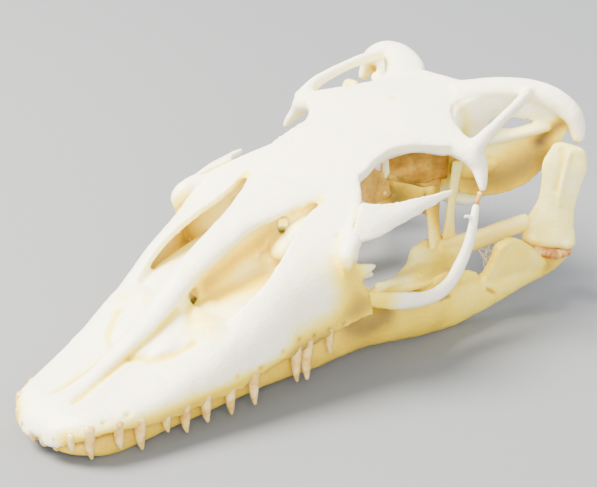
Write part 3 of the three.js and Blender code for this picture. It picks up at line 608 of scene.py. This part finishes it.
def jaw_fibres():
    """Web of dried fibres between the pterygoid's arm and the front edge of the jaw's tall plate."""
    bm = bmesh.new()
    random = np.random.default_rng(SEED)
    arm = spline([(11.2, 75.6, 7.2), (12.6, 76.8, 7.8), (14.2, 78.2, 9.2)], FIBRE_ENDS)
    plate = spline([(17.4, 69.6, 7.0), (18.0, 70.0, 9.0), (18.7, 70.6, 11.0)], FIBRE_ENDS)
    middles = []
    for _ in range(FIBRE_COUNT):
        start = arm[random.integers(FIBRE_ENDS + 1)]
        end = plate[random.integers(FIBRE_ENDS + 1)]
        middle = (start + end) / 2 + random.normal(size=3) * FIBRE_SAG
        middles.append(middle)
        rod(bm, [(*place, *FIBRE) for place in (start, middle, end)], sides=6, steps=6)
    for start, end in zip(middles, middles[3:]):
        rod(bm, [(*place, *CROSS_FIBRE) for place in (start, (start + end) / 2, end)], sides=6, steps=4)
    return piece_from(bm, "jaw_fibres")


def orbit_ligament():
    """Knot of sinew between the postorbital spike and the jugal's tip."""
    bm = bmesh.new()
    rod(bm, [
        (17.42, 65.3, 19.4, 0.4, 0.5), (17.5, 65.45, 20.1, 0.3, 0.35), (17.62, 65.6, 20.7, 0.42, 0.5),
    ], up=BACK)
    return fuse(bm, "orbit_knot", FINE_GRAIN, rounds=1)


def orbit_membrane():
    """Curtain of dried skin before the braincase, thickened to a bar along its lower edge."""
    bm = bmesh.new()
    shell(bm, [
        [(6.6, 73.4, 27.6), (3.4, 70.0, 27.0), (0, 67.2, 26.8), (-3.4, 70.0, 27.0), (-6.6, 73.4, 27.6)],
        [(6.4, 73.8, 22.6), (3.4, 70.4, 22.4), (0, 67.5, 22.4), (-3.4, 70.4, 22.4), (-6.4, 73.8, 22.6)],
        [(6.0, 74.4, 17.4), (3.4, 71.8, 16.4), (0, 68.0, 17.8), (-3.4, 71.8, 16.4), (-6.0, 74.4, 17.4)],
    ], MEMBRANE_WALL, across=28, along=16)
    rod(bm, [
        (0.3, 68.0, 17.8, 0.7, 0.7), (2.0, 70.6, 16.9, 0.7, 0.6), (3.8, 72.6, 16.2, 0.8, 0.6),
        (5.4, 73.2, 16.9, 0.6, 0.6),
    ])
    rod(bm, [(-0.3, 68.0, 17.8, 0.7, 0.7), (-2.0, 70.6, 16.9, 0.7, 0.6), (-3.8, 72.6, 16.2, 0.8, 0.6)])
    return piece_from(bm, "orbit_skin")


def orbit_septum():
    """Thin wall between the orbits, dried to a ragged disc with a pinhole through it."""
    bm = bmesh.new()
    shell(bm, [
        [(0, 60.1, 19.4), (0, 61.9, 20.1), (0, 64.0, 20.0), (0, 66.1, 18.9), (0, 67.7, 18.0)],
        [(0, 59.9, 18.3), (0, 61.9, 17.8), (0, 64.2, 17.4), (0, 66.4, 16.9), (0, 68.4, 16.4)],
        [(0, 60.6, 16.9), (0, 62.2, 15.5), (0, 64.6, 14.2), (0, 67.4, 13.4), (0, 70.0, 12.6)],
    ], MEMBRANE_WALL, across=36, along=28)
    disc = piece_from(bm, "orbit_septum")
    pin = bmesh.new()
    rod(pin, [(-2, 67.6, 15.1, 0.42, 0.34), (2, 67.6, 15.1, 0.42, 0.34)])
    pinhole = piece_from(pin, "pinhole")
    cut = disc.modifiers.new("Pinhole", "BOOLEAN")
    cut.operation = "DIFFERENCE"
    cut.object = pinhole
    bake_modifiers(disc)
    bpy.data.objects.remove(pinhole)
    return disc


# Surface work on a finished bone
BONE_SWELL = 2.2
SWELL_HEIGHT = 0.06
MARK_STEPS = 5  # points of a mark's smooth line for each one given
HOLLOW_RAYS = 14
HOLLOW_REACH = 16.0
RAY_START = 0.15
RAY_SPREAD = 0.95
REACH_FADE = 0.6  # how much less bone at the end of the reach hides
HOLLOW_ROUNDS = 3
POINT_LENGTH = 0.01  # a mark at one point is a line too short to show


def vertices_of(piece):
    """Places of the piece's vertices, a row for each."""
    places = np.empty(len(piece.data.vertices) * 3)
    piece.data.vertices.foreach_get("co", places)
    return places.reshape(-1, 3)


def normals_of(piece):
    """Outward directions at the piece's vertices, a row for each."""
    normals = np.empty(len(piece.data.vertices) * 3)
    piece.data.vertices.foreach_get("normal", normals)
    return normals.reshape(-1, 3)


def distance_to(places, line):
    """Distance from each place to a line through points."""
    nearest = np.full(len(places), np.inf)
    for start, end in pairwise(np.array(line, float)):
        along = end - start
        share = np.clip(((places - start) @ along) / (along @ along), 0, 1)
        gap = np.linalg.norm(places - start - share[:, None] * along, axis=1)
        nearest = np.minimum(nearest, gap)
    return nearest


def work_marks(piece, marks):
    """Cuts each mark into the surface and keeps how deeply it is stained or painted with shade."""
    places = vertices_of(piece)
    normals = normals_of(piece)
    stain_and_shade = np.zeros(len(places))
    sunk = np.zeros(len(places))
    for line, half_width, depth, strength in marks:
        away = distance_to(places, spline(line, MARK_STEPS * len(line)) if len(line) > 2 else line)
        fade = np.exp(-((away / half_width) ** 2))
        sunk += depth * fade
        stain_and_shade += strength * fade
    places -= normals * sunk[:, None]
    piece.data.vertices.foreach_set("co", places.ravel())
    piece.data.update()
    paint(piece, "stain_and_shade", stain_and_shade)


def roughen(piece, size, height):
    """Uneven surface of real bone: swells of the given size and height."""
    places = vertices_of(piece)
    normals = normals_of(piece)
    swell = np.array([noise.fractal(Vector(p) / size, 1.0, 2.0, 3) for p in places])
    places += normals * (swell * height)[:, None]
    piece.data.vertices.foreach_set("co", places.ravel())
    piece.data.update()


def paint(piece, name, values):
    """Keeps one value for each vertex under a name that the materials read."""
    attribute = piece.data.attributes.new(name, "FLOAT", "POINT")
    attribute.data.foreach_set("value", np.clip(values, 0, 1).astype(np.float32))


def spread(piece, values, rounds):
    """Evens out values over the mesh's edges."""
    edges = np.empty(len(piece.data.edges) * 2, int)
    piece.data.edges.foreach_get("vertices", edges)
    a, b = edges.reshape(-1, 2).T
    count = np.bincount(a, minlength=len(values)) + np.bincount(b, minlength=len(values)) + 1
    for _ in range(rounds):
        total = values + np.bincount(a, values[b], len(values)) + np.bincount(b, values[a], len(values))
        values = total / count
    return values


def measure_painted_shade(piece, obstacles):
    """Share of the sky that other bone hides from each vertex, kept to paint shade into the bone's colour in
    its recesses.
    """
    random = np.random.default_rng(SEED)
    rays = random.normal(size=(HOLLOW_RAYS, 3))
    rays /= np.linalg.norm(rays, axis=1)[:, None]
    hidden = np.zeros(len(piece.data.vertices))
    for i, (place, normal) in enumerate(zip(vertices_of(piece), normals_of(piece))):
        start = Vector(place + normal * RAY_START)
        for ray in rays:
            heading = normal + ray * RAY_SPREAD
            found = obstacles.ray_cast(start, Vector(heading).normalized(), HOLLOW_REACH)
            if found[3] is not None:
                hidden[i] += 1 - REACH_FADE * found[3] / HOLLOW_REACH
    return spread(piece, hidden / HOLLOW_RAYS, HOLLOW_ROUNDS)


def tree_of(pieces):
    """One ray tree for all the pieces."""
    places, faces = [], []
    for piece in pieces:
        start = len(places)
        places += [v.co[:] for v in piece.data.vertices]
        faces += [[start + i for i in p.vertices] for p in piece.data.polygons]
    return BVHTree.FromPolygons(places, faces)


# Marks on the bones: a line, its half width, how deep it is cut and how deeply it is stained or painted with
# shade
def pit(place, half_width, depth, strength):
    """Mark at one point."""
    x, y, z = place
    return [(x, y, z), (x, y + POINT_LENGTH, z)], half_width, depth, strength


def on_both_sides(marks):
    """The marks, and the same on the animal's right side."""
    return marks + [([(-x, y, z) for x, y, z in line], *rest) for line, *rest in marks]


FORAMINA = [
    (6.8, 4.9, 5.4), (7.8, 7.9, 5.7), (12.0, 22.9, 6.6), (12.6, 26.7, 6.6), (13.3, 30.1, 7.9),
    (13.7, 32.8, 8.8), (14.0, 35.4, 8.5), (14.4, 37.9, 8.6), (14.9, 40.4, 8.6), (11.9, 41.8, 20.0),
]
FORAMEN = (0.3, 0.4, 0.3)
SUTURE = (0.2, 0.07, 0.07)
# Beside the nasal bar, round the snout's dome, before the nostril, behind the prefrontal, and at the
# corner of the supratemporal process
GROOVES = [
    ([(1.8, 4.6, 6.3), (1.5, 9.0, 7.4), (1.7, 13.2, 8.7), (1.9, 16.3, 9.9), (2.1, 19.2, 11.1),
      (2.2, 22.6, 12.6)], 0.4, 0.5, 0.34),
    ([(2.0, 14.2, 8.9), (2.6, 15.2, 8.9), (4.0, 15.8, 8.9), (5.3, 17.5, 9.3), (6.2, 19.4, 9.8),
      (6.6, 20.6, 10.3)], 0.5, 0.4, 0.3),
    ([(4.0, 22.6, 12.0), (2.9, 23.6, 12.6), (2.4, 25.4, 13.6)], 0.6, 0.3, 0.3),
    ([(5.0, 41.2, 21.0), (6.6, 44.6, 22.2)], 0.8, 0.25, 0.35),
    ([(14.7, 84.7, 22.7), (15.6, 85.2, 23.9), (16.4, 85.8, 24.8), (17.0, 86.1, 25.3)], 1.0, 0.3, 0.75),
]
# Painted shade over yellowed bone along the tooth row and low on the cheek; fat in the lacrimal; painted
# shade on the paroccipital wall; fat in the basipterygoid, braincase wall and basisphenoid, and before the
# nostril
STAINS_AND_SHADE = [
    # Painted shade along the tooth row under the snout's edge, over yellowed bone
    ([(4.5, 1.5, 3.4), (6.3, 3.0, 3.4), (7.5, 5.3, 3.6), (8.4, 7.7, 3.8), (9.2, 10.3, 4.0), (9.9, 13.0, 4.2),
      (10.4, 15.9, 4.5), (11.0, 18.9, 4.7), (11.6, 21.9, 5.0), (12.3, 24.9, 5.4), (12.8, 28.1, 5.8),
      (13.3, 31.4, 6.3), (13.8, 34.7, 6.9), (14.1, 38.4, 7.1)], 1.4, 0.0, 0.5),
    # Painted shade, amber low on the cheek
    ([(13.4, 33.0, 8.0), (14.6, 40.0, 9.4), (15.6, 43.4, 10.4)], 2.4, 0.0, 0.36),
    ([(15.5, 42.0, 11.4), (15.2, 40.8, 15.4)], 2.6, 0.0, 0.42),
    # Painted shade on the paroccipital wall
    ([(8.4, 80.0, 16.6), (11.4, 82.4, 17.4), (14.2, 84.6, 20.0)], 3.2, 0.0, 0.75),
    ([(5.6, 71.8, 13.4), (8.6, 69.4, 8.6)], 1.8, 0.0, 0.2),
    ([(6.4, 73.8, 26.0), (6.4, 74.4, 16.6)], 2.2, 0.0, 0.55),
    ([(0.6, 69.6, 14.0), (3.0, 72.0, 12.6), (5.6, 72.4, 13.2)], 3.0, 0.0, 0.45),
    ([(8.2, 22.8, 10.6), (4.0, 24.0, 12.2)], 1.2, 0.0, 0.12),
]
# Amber septum and yellow lobes in the left nostril, and the pink bone before it
LEFT_NOSTRIL_STAINS = [
    ([(1.0, 28.0, 14.4), (1.0, 33.0, 16.0), (1.0, 40.0, 17.4)], 1.4, 0.0, 0.4),
    ([(3.0, 28.0, 12.6), (5.6, 33.0, 13.2), (6.4, 38.0, 14.0)], 3.2, 0.0, 0.22),
    ([(5.0, 21.5, 11.6), (6.8, 24.2, 11.8)], 1.8, 0.0, 0.12),
]
SIDE_SUTURE = [
    (4.8, 42.5, 21.9), (4.2, 49.3, 24.8), (5.1, 52.3, 25.7), (6.2, 55.7, 26.5), (5.8, 61.3, 27.9),
    (6.6, 65.7, 28.7), (7.6, 69.0, 29.1),
]
MIDDLE_SUTURE = [(0.2, 37.1, 21.3), (0, 44.2, 23.3), (0.2, 52.7, 26.0), (0, 61.6, 28.3)]
PARIETAL_EYE = pit((0, 68.5, 29.6), 0.55, 0.4, 0.25)
CRANIUM_MARKS = on_both_sides([
    *GROOVES, *STAINS_AND_SHADE, (SIDE_SUTURE, *SUTURE), *[pit(place, *FORAMEN) for place in FORAMINA],
]) + [(MIDDLE_SUTURE, *SUTURE), PARIETAL_EYE, *LEFT_NOSTRIL_STAINS]
# Two foramina, the brown spot under the lacrimal, the ochre front half darkened with painted shade towards
# its lower edge, and the joint's rim
JAW_MARKS = on_both_sides([
    ([(16.0, 60.3, 5.8), (16.3, 62.3, 5.8)], 0.25, 0.25, 0.5),
    ([(17.9, 69.4, 5.0), (18.1, 70.2, 4.4), (18.0, 71.4, 3.6)], 0.25, 0.25, 0.5),
    ([(13.4, 44.0, 6.6), (13.9, 46.5, 6.0), (14.6, 50.0, 6.6)], 1.8, 0.0, 0.5),
    # Ochre front half, with painted shade growing towards the jaw's lower edge
    ([(2.0, 3.0, 1.6), (6.0, 5.0, 1.8), (9.0, 15.0, 2.4), (12.0, 30.0, 3.0), (14.0, 50.0, 2.4),
      (15.4, 60.0, 1.2)], 3.2, 0.0, 0.2),
    ([(20.6, 81.0, 5.6), (19.6, 83.6, 6.6)], 1.4, 0.0, 0.3),
])
# Groove down the face, and the foot where the sinew was
QUADRATE_MARKS = on_both_sides([
    ([(19.5, 82.8, 23.0), (20.0, 82.6, 20.9), (19.7, 82.3, 17.0)], 0.4, 0.2, 0.15),
    ([(16.6, 80.8, 8.4), (19.2, 82.4, 7.9), (22.4, 84.6, 7.9)], 1.0, 0.0, 0.35),
])
JUGAL_MARKS = on_both_sides([
    ([(15.0, 42.0, 11.6), (16.2, 46.4, 10.4)], 2.2, 0.0, 0.36),
    ([(17.9, 57.0, 7.6), (18.0, 60.6, 9.0)], 0.8, 0.0, 0.1),
])
PTERYGOID_MARKS = on_both_sides([
    ([(13.6, 57.0, 8.8), (13.0, 62.0, 8.2), (11.6, 68.0, 8.2)], 2.4, 0.0, 0.25),
])


# Colour
def linear(text):
    """Turns an sRGB hex colour into the linear values that shaders work with."""
    parts = [int(text[i:i + 2], 16) / 255 for i in (1, 3, 5)]
    return (*[c / 12.92 if c <= 0.04045 else ((c + 0.055) / 1.055) ** 2.4 for c in parts], 1)


def node(tree, kind, inputs=None, **settings):
    """Adds a node, sets its properties and fills its inputs with values or other nodes' sockets."""
    made = tree.nodes.new(kind)
    for name, value in settings.items():
        setattr(made, name, value)
    for socket, value in (inputs or {}).items():
        if isinstance(value, bpy.types.NodeSocket):
            tree.links.new(value, made.inputs[socket])
        else:
            made.inputs[socket].default_value = value
    return made


def ramp(tree, factor, stops):
    """Colour ramp with its stops given as place and sRGB hex."""
    made = node(tree, "ShaderNodeValToRGB", {"Fac": factor})
    elements = made.color_ramp.elements
    while len(elements) < len(stops):
        elements.new(0.5)
    for element, (place, colour) in zip(elements, stops):
        element.position = place
        element.color = linear(colour)
    return made.outputs["Color"]


def new_material(name):
    """Empty procedural material, its node tree and its output."""
    material = bpy.data.materials.new(name)
    material.use_nodes = True
    tree = material.node_tree
    tree.nodes.clear()
    output = node(tree, "ShaderNodeOutputMaterial")
    return material, tree, output


# From rubbed white bone to bone soaked brown with fat; the same stops also carry painted shade in recesses
# and shaded places
BONE_STOPS = [
    (0.0, "#fffbe8"), (0.12, "#fdf3a0"), (0.3, "#f6da30"),
    (0.5, "#d2ae20"), (0.75, "#9c822c"), (1.0, "#6c501e"),
]
# Sizes of the patterns in millimetres. Fibres and pores are drawn coarser than real so that they show.
BONE_CLOUD = 5
BONE_SPECKLE = 0.9
BONE_FIBRE = 0.35
BONE_PORE = 0.8
BONE_RELIEF = 0.14
# How far each of them shifts the colour along the stops, or the roughness
# Painted shade: how far the hidden share of the sky moves the colour along the stops
PAINTED_SHADE_TINT = 0.22
CLOUD_TINT = 0.26
SPECKLE_TINT = 0.1
POLISH_DRIFT = 0.24
FAT_GLOW = (1.0, 0.6, 0.3)  # how much farther red light than blue goes through bone and dried skin


def dry_bone(name, age, roughness=0.42):
    """Cleaned bone: matt and warm white where it is rubbed, waxy and amber where fat stayed in it, and
    yellowed with painted shade where other bone hides the sky.
    """
    material, tree, output = new_material(name)
    where = node(tree, "ShaderNodeTexCoord").outputs["Object"]
    painted_shade = node(tree, "ShaderNodeAttribute", attribute_name="painted_shade").outputs["Fac"]
    stain_and_shade = node(tree, "ShaderNodeAttribute", attribute_name="stain_and_shade").outputs["Fac"]
    clouds = node(tree, "ShaderNodeTexNoise", {
        "Vector": where, "Scale": 1 / (BONE_CLOUD * MM), "Detail": 4, "Roughness": 0.6,
    })
    speckle = node(tree, "ShaderNodeTexNoise", {
        "Vector": where, "Scale": 1 / (BONE_SPECKLE * MM), "Detail": 3,
    })
    # Painted shade in recesses, added to the material's own age tint
    age_and_painted_shade = node(tree, "ShaderNodeMath", {0: painted_shade, 1: PAINTED_SHADE_TINT, 2: age}, operation="MULTIPLY_ADD")
    drift = node(tree, "ShaderNodeMath", {
        0: clouds.outputs["Fac"], 1: CLOUD_TINT, 2: -CLOUD_TINT / 2,
    }, operation="MULTIPLY_ADD")
    grit = node(tree, "ShaderNodeMath", {
        0: speckle.outputs["Fac"], 1: SPECKLE_TINT, 2: -SPECKLE_TINT / 2,
    }, operation="MULTIPLY_ADD")
    mottled = node(tree, "ShaderNodeMath", {0: drift.outputs[0], 1: grit.outputs[0]}, operation="ADD")
    tinted = node(tree, "ShaderNodeMath", {0: age_and_painted_shade.outputs[0], 1: mottled.outputs[0]}, operation="ADD")
    total = node(tree, "ShaderNodeMath", {0: tinted.outputs[0], 1: stain_and_shade}, operation="ADD", use_clamp=True)
    colour = ramp(tree, total.outputs[0], BONE_STOPS)
    polish = node(tree, "ShaderNodeMath", {
        0: clouds.outputs["Fac"], 1: POLISH_DRIFT, 2: roughness - POLISH_DRIFT / 2,
    }, operation="MULTIPLY_ADD")
    fibres = node(tree, "ShaderNodeMapping", {"Vector": where, "Scale": (1, 0.3, 1)})
    grain = node(tree, "ShaderNodeTexNoise", {
        "Vector": fibres.outputs[0], "Scale": 1 / (BONE_FIBRE * MM), "Detail": 3,
    })
    pores = node(tree, "ShaderNodeTexVoronoi", {"Vector": where, "Scale": 1 / (BONE_PORE * MM)})
    pits = node(tree, "ShaderNodeMath", {0: pores.outputs["Distance"], 1: 0.18}, operation="MINIMUM")
    relief = node(tree, "ShaderNodeMath", {
        0: pits.outputs[0], 1: 1.2, 2: grain.outputs["Fac"],
    }, operation="MULTIPLY_ADD")
    bump = node(tree, "ShaderNodeBump", {
        "Height": relief.outputs[0], "Strength": 0.6, "Distance": BONE_RELIEF * MM,
    })
    skin = node(tree, "ShaderNodeBsdfPrincipled", {
        "Base Color": colour, "Roughness": polish.outputs[0], "Normal": bump.outputs[0], "IOR": 1.5,
        "Subsurface Weight": 0.25, "Subsurface Radius": FAT_GLOW, "Subsurface Scale": 1.2 * MM,
    })
    tree.links.new(skin.outputs[0], output.inputs["Surface"])
    return material


TOOTH_CLOUD = 1.5
DENTINE = [(0.3, "#f2daa0"), (0.5, "#e6c676"), (0.7, "#ca9c44")]


def tooth_enamel():
    """Thin enamel over yellow dentine: smoother than bone, and light goes some way into it."""
    material, tree, output = new_material("tooth_enamel")
    where = node(tree, "ShaderNodeTexCoord").outputs["Object"]
    clouds = node(tree, "ShaderNodeTexNoise", {"Vector": where, "Scale": 1 / (TOOTH_CLOUD * MM), "Detail": 2})
    colour = ramp(tree, clouds.outputs["Fac"], DENTINE)
    skin = node(tree, "ShaderNodeBsdfPrincipled", {
        "Base Color": colour, "Roughness": 0.24, "IOR": 1.6, "Subsurface Weight": 0.6,
        "Subsurface Radius": (1.0, 0.8, 0.6), "Subsurface Scale": 0.8 * MM,
    })
    tree.links.new(skin.outputs[0], output.inputs["Surface"])
    return material


SKIN_CLOUD = 2.5
# Amber of the dried skin, darkened with painted shade where it lies in shadow before the braincase
AMBER_IN_SHADE = [(0.3, "#d2ac40"), (0.5, "#ae8220"), (0.7, "#866012")]
# Yellowish grey of the septum, greyed towards olive as painted shade
OLIVE_IN_SHADE = [(0.3, "#d9c070"), (0.5, "#c2a34a"), (0.7, "#a08130")]
PALE_FIBRE = [(0.3, "#f4ecd8"), (0.7, "#d8c8a4")]


def dried_skin(name, stops):
    """Membrane dried hard and thin: waxy, with cloudy thick and thin places."""
    material, tree, output = new_material(name)
    where = node(tree, "ShaderNodeTexCoord").outputs["Object"]
    clouds = node(tree, "ShaderNodeTexNoise", {
        "Vector": where, "Scale": 1 / (SKIN_CLOUD * MM), "Detail": 5, "Roughness": 0.65,
    })
    colour = ramp(tree, clouds.outputs["Fac"], stops)
    bump = node(tree, "ShaderNodeBump", {
        "Height": clouds.outputs["Fac"], "Strength": 0.4, "Distance": 0.2 * MM,
    })
    skin = node(tree, "ShaderNodeBsdfPrincipled", {
        "Base Color": colour, "Roughness": 0.5, "Normal": bump.outputs[0],
        "Subsurface Weight": 0.5, "Subsurface Radius": FAT_GLOW, "Subsurface Scale": 1.0 * MM,
    })
    tree.links.new(skin.outputs[0], output.inputs["Surface"])
    return material


SINEW_STRAND = 0.9
SINEW = [(0.35, "#8a4f1a"), (0.5, "#c98f45"), (0.65, "#e8c987")]


def dried_ligament():
    """Sinew dried on the bone: brown, fibrous and dull, darker where it is thick."""
    material, tree, output = new_material("dried_ligament")
    where = node(tree, "ShaderNodeTexCoord").outputs["Object"]
    stretched = node(tree, "ShaderNodeMapping", {"Vector": where, "Scale": (1, 1, 0.4)})
    strands = node(tree, "ShaderNodeTexNoise", {
        "Vector": stretched.outputs[0], "Scale": 1 / (SINEW_STRAND * MM), "Detail": 4,
    })
    colour = ramp(tree, strands.outputs["Fac"], SINEW)
    bump = node(tree, "ShaderNodeBump", {
        "Height": strands.outputs["Fac"], "Strength": 0.6, "Distance": 0.15 * MM,
    })
    skin = node(tree, "ShaderNodeBsdfPrincipled", {
        "Base Color": colour, "Roughness": 0.62, "Normal": bump.outputs[0],
    })
    tree.links.new(skin.outputs[0], output.inputs["Surface"])
    return material


def pale_floor():
    """Matt paper sweep, even and slightly cool."""
    material, tree, output = new_material("floor_paper")
    skin = node(tree, "ShaderNodeBsdfPrincipled", {"Base Color": linear("#747982"), "Roughness": 0.9})
    tree.links.new(skin.outputs[0], output.inputs["Surface"])
    return material


# Putting a piece in the frame
def settle(piece, material, replaces=()):
    """Turns the piece into metres in the part's frame, and gives it its finish and body."""
    to_frame = Matrix.Scale(MM, 4) @ Matrix.Translation((0, -TIP_TO_ORIGIN, 0))
    piece.data.transform(to_frame)
    piece.data.materials.clear()
    piece.data.materials.append(material)
    piece.data.shade_smooth()
    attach(piece, "root")
    if replaces:
        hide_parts(*replaces)
    return piece


# Camera, light and floor. Lights and their sizes are in metres and watts.
FLOOR_HALF = 3000
WARM_WHITE = "#fff4dc"
ROOM_GREY = "#eef1f5"
ROOM_STRENGTH = 1.15
CAMERA_PLACE = (137.447, -119.797, 108.508)
CAMERA_RIGHT = Vector((0.76328, 0.64498, 0.03744))
CAMERA_BACK = Vector((0.57929, -0.70891, 0.40233))
LENS = 104.19


def add_camera():
    """Camera at the angle and the distance that the photograph was taken from."""
    data = bpy.data.cameras.new("photo_camera")
    data.lens = LENS
    data.clip_start = 0.01
    camera = bpy.data.objects.new("photo_camera", data)
    bpy.context.scene.collection.objects.link(camera)
    axes = Matrix((CAMERA_RIGHT, CAMERA_BACK.cross(CAMERA_RIGHT), CAMERA_BACK)).transposed().to_4x4()
    x, y, z = CAMERA_PLACE
    camera.matrix_world = Matrix.Translation(Vector((x, y - TIP_TO_ORIGIN, z)) * MM) @ axes
    bpy.context.scene.camera = camera


def add_light(name, place, size, power, colour="#ffffff"):
    """Soft round light that faces the skull."""
    data = bpy.data.lights.new(name, "AREA")
    data.shape = "DISK"
    data.size = size
    data.energy = power
    data.color = linear(colour)[:3]
    light = bpy.data.objects.new(name, data)
    light.location = place
    light.rotation_euler = (-Vector(place)).to_track_quat("-Z", "Y").to_euler()
    bpy.context.scene.collection.objects.link(light)


def add_room():
    """Pale floor, even light from all round and three soft lights."""
    bm = bmesh.new()
    bmesh.ops.create_grid(bm, x_segments=1, y_segments=1, size=FLOOR_HALF)
    floor = piece_from(bm, "floor")
    floor.data.transform(Matrix.Scale(MM, 4))
    floor.data.materials.append(pale_floor())
    world = bpy.data.worlds.new("room")
    world.use_nodes = True
    background = world.node_tree.nodes["Background"]
    background.inputs["Color"].default_value = linear(ROOM_GREY)
    background.inputs["Strength"].default_value = ROOM_STRENGTH
    bpy.context.scene.world = world
    add_light("key_light", (-0.26, -0.22, 0.42), 0.28, 19.0, WARM_WHITE)
    add_light("fill_light", (0.42, -0.38, 0.30), 0.4, 6.5, WARM_WHITE)
    add_light("rim_light", (-0.1, 0.5, 0.35), 0.3, 2.6)


# Build
skull = cranium()
jaws = pair("jaw_bone", left_jaw)
quadrates = pair("quadrate_bone", left_quadrate, FINE_GRAIN)
jugals = pair("jugal_bone", left_jugal, FINE_GRAIN)
pterygoids = pair("pterygoid_bone", left_pterygoid)
epipterygoids = pair("epipterygoid_bone", left_epipterygoid, FINE_GRAIN)
ligaments = pair("jaw_sinew", left_jaw_ligament, FINE_GRAIN)
palpebrals = [palpebral(PALPEBRAL, "left_palpebral_bone", flip=True),
              palpebral(RIGHT_PALPEBRAL, "right_palpebral_bone", flip=False)]
knot = orbit_ligament()
fibres = jaw_fibres()
skin = orbit_membrane()
septum = orbit_septum()
upper_row = upper_teeth()
lower_row = lower_teeth()

bones = [skull, *jaws, *quadrates, *jugals, *pterygoids, *epipterygoids, *palpebrals]
obstacles = tree_of(bones)
marks_of = {skull: CRANIUM_MARKS}
for marked, marks in (
    (jaws, JAW_MARKS), (quadrates, QUADRATE_MARKS), (pterygoids, PTERYGOID_MARKS), (jugals, JUGAL_MARKS),
):
    marks_of.update({bone: marks for bone in marked})
for bone in bones:
    # Painted shade: each bone keeps how much of the sky other bone hides from it, and its colour turns yellow
    # there
    paint(bone, "painted_shade", measure_painted_shade(bone, obstacles))
    work_marks(bone, marks_of.get(bone, []))
    roughen(bone, BONE_SWELL, SWELL_HEIGHT)

white_bone = dry_bone("dry_bone_white", -0.03)
ivory_bone = dry_bone("dry_bone_ivory", 0.12)
ochre_bone = dry_bone("dry_bone_ochre", 0.26)
enamel = tooth_enamel()
sinew = dried_ligament()
settle(skull, white_bone, ["cranium"])
settle(upper_row, enamel)
settle(lower_row, enamel)
for pieces, material, slot, node_name in (
    (jaws, ochre_bone, "ochre_bone", "mandible"),
    (quadrates, ivory_bone, "ivory_bone", "quadrate"),
    (jugals, white_bone, "bone", "jugal"),
    (pterygoids, ivory_bone, "ivory_bone", "pterygoid"),
    (epipterygoids, ivory_bone, "ivory_bone", "epipterygoid"),
    (ligaments, sinew, "dried_tissue", "jaw_ligament"),
    (palpebrals, white_bone, "bone", "palpebral"),
):
    for side, piece in zip(("left", "right"), pieces):
        settle(piece, material, [f"{side}_{node_name}"])
settle(knot, sinew, ["left_orbit_ligament"])
settle(skin, dried_skin("dried_membrane", AMBER_IN_SHADE), ["orbit_membrane"])
settle(septum, dried_skin("dried_septum", OLIVE_IN_SHADE))
settle(fibres, dried_skin("dried_fibres", PALE_FIBRE))

add_camera()
add_room()
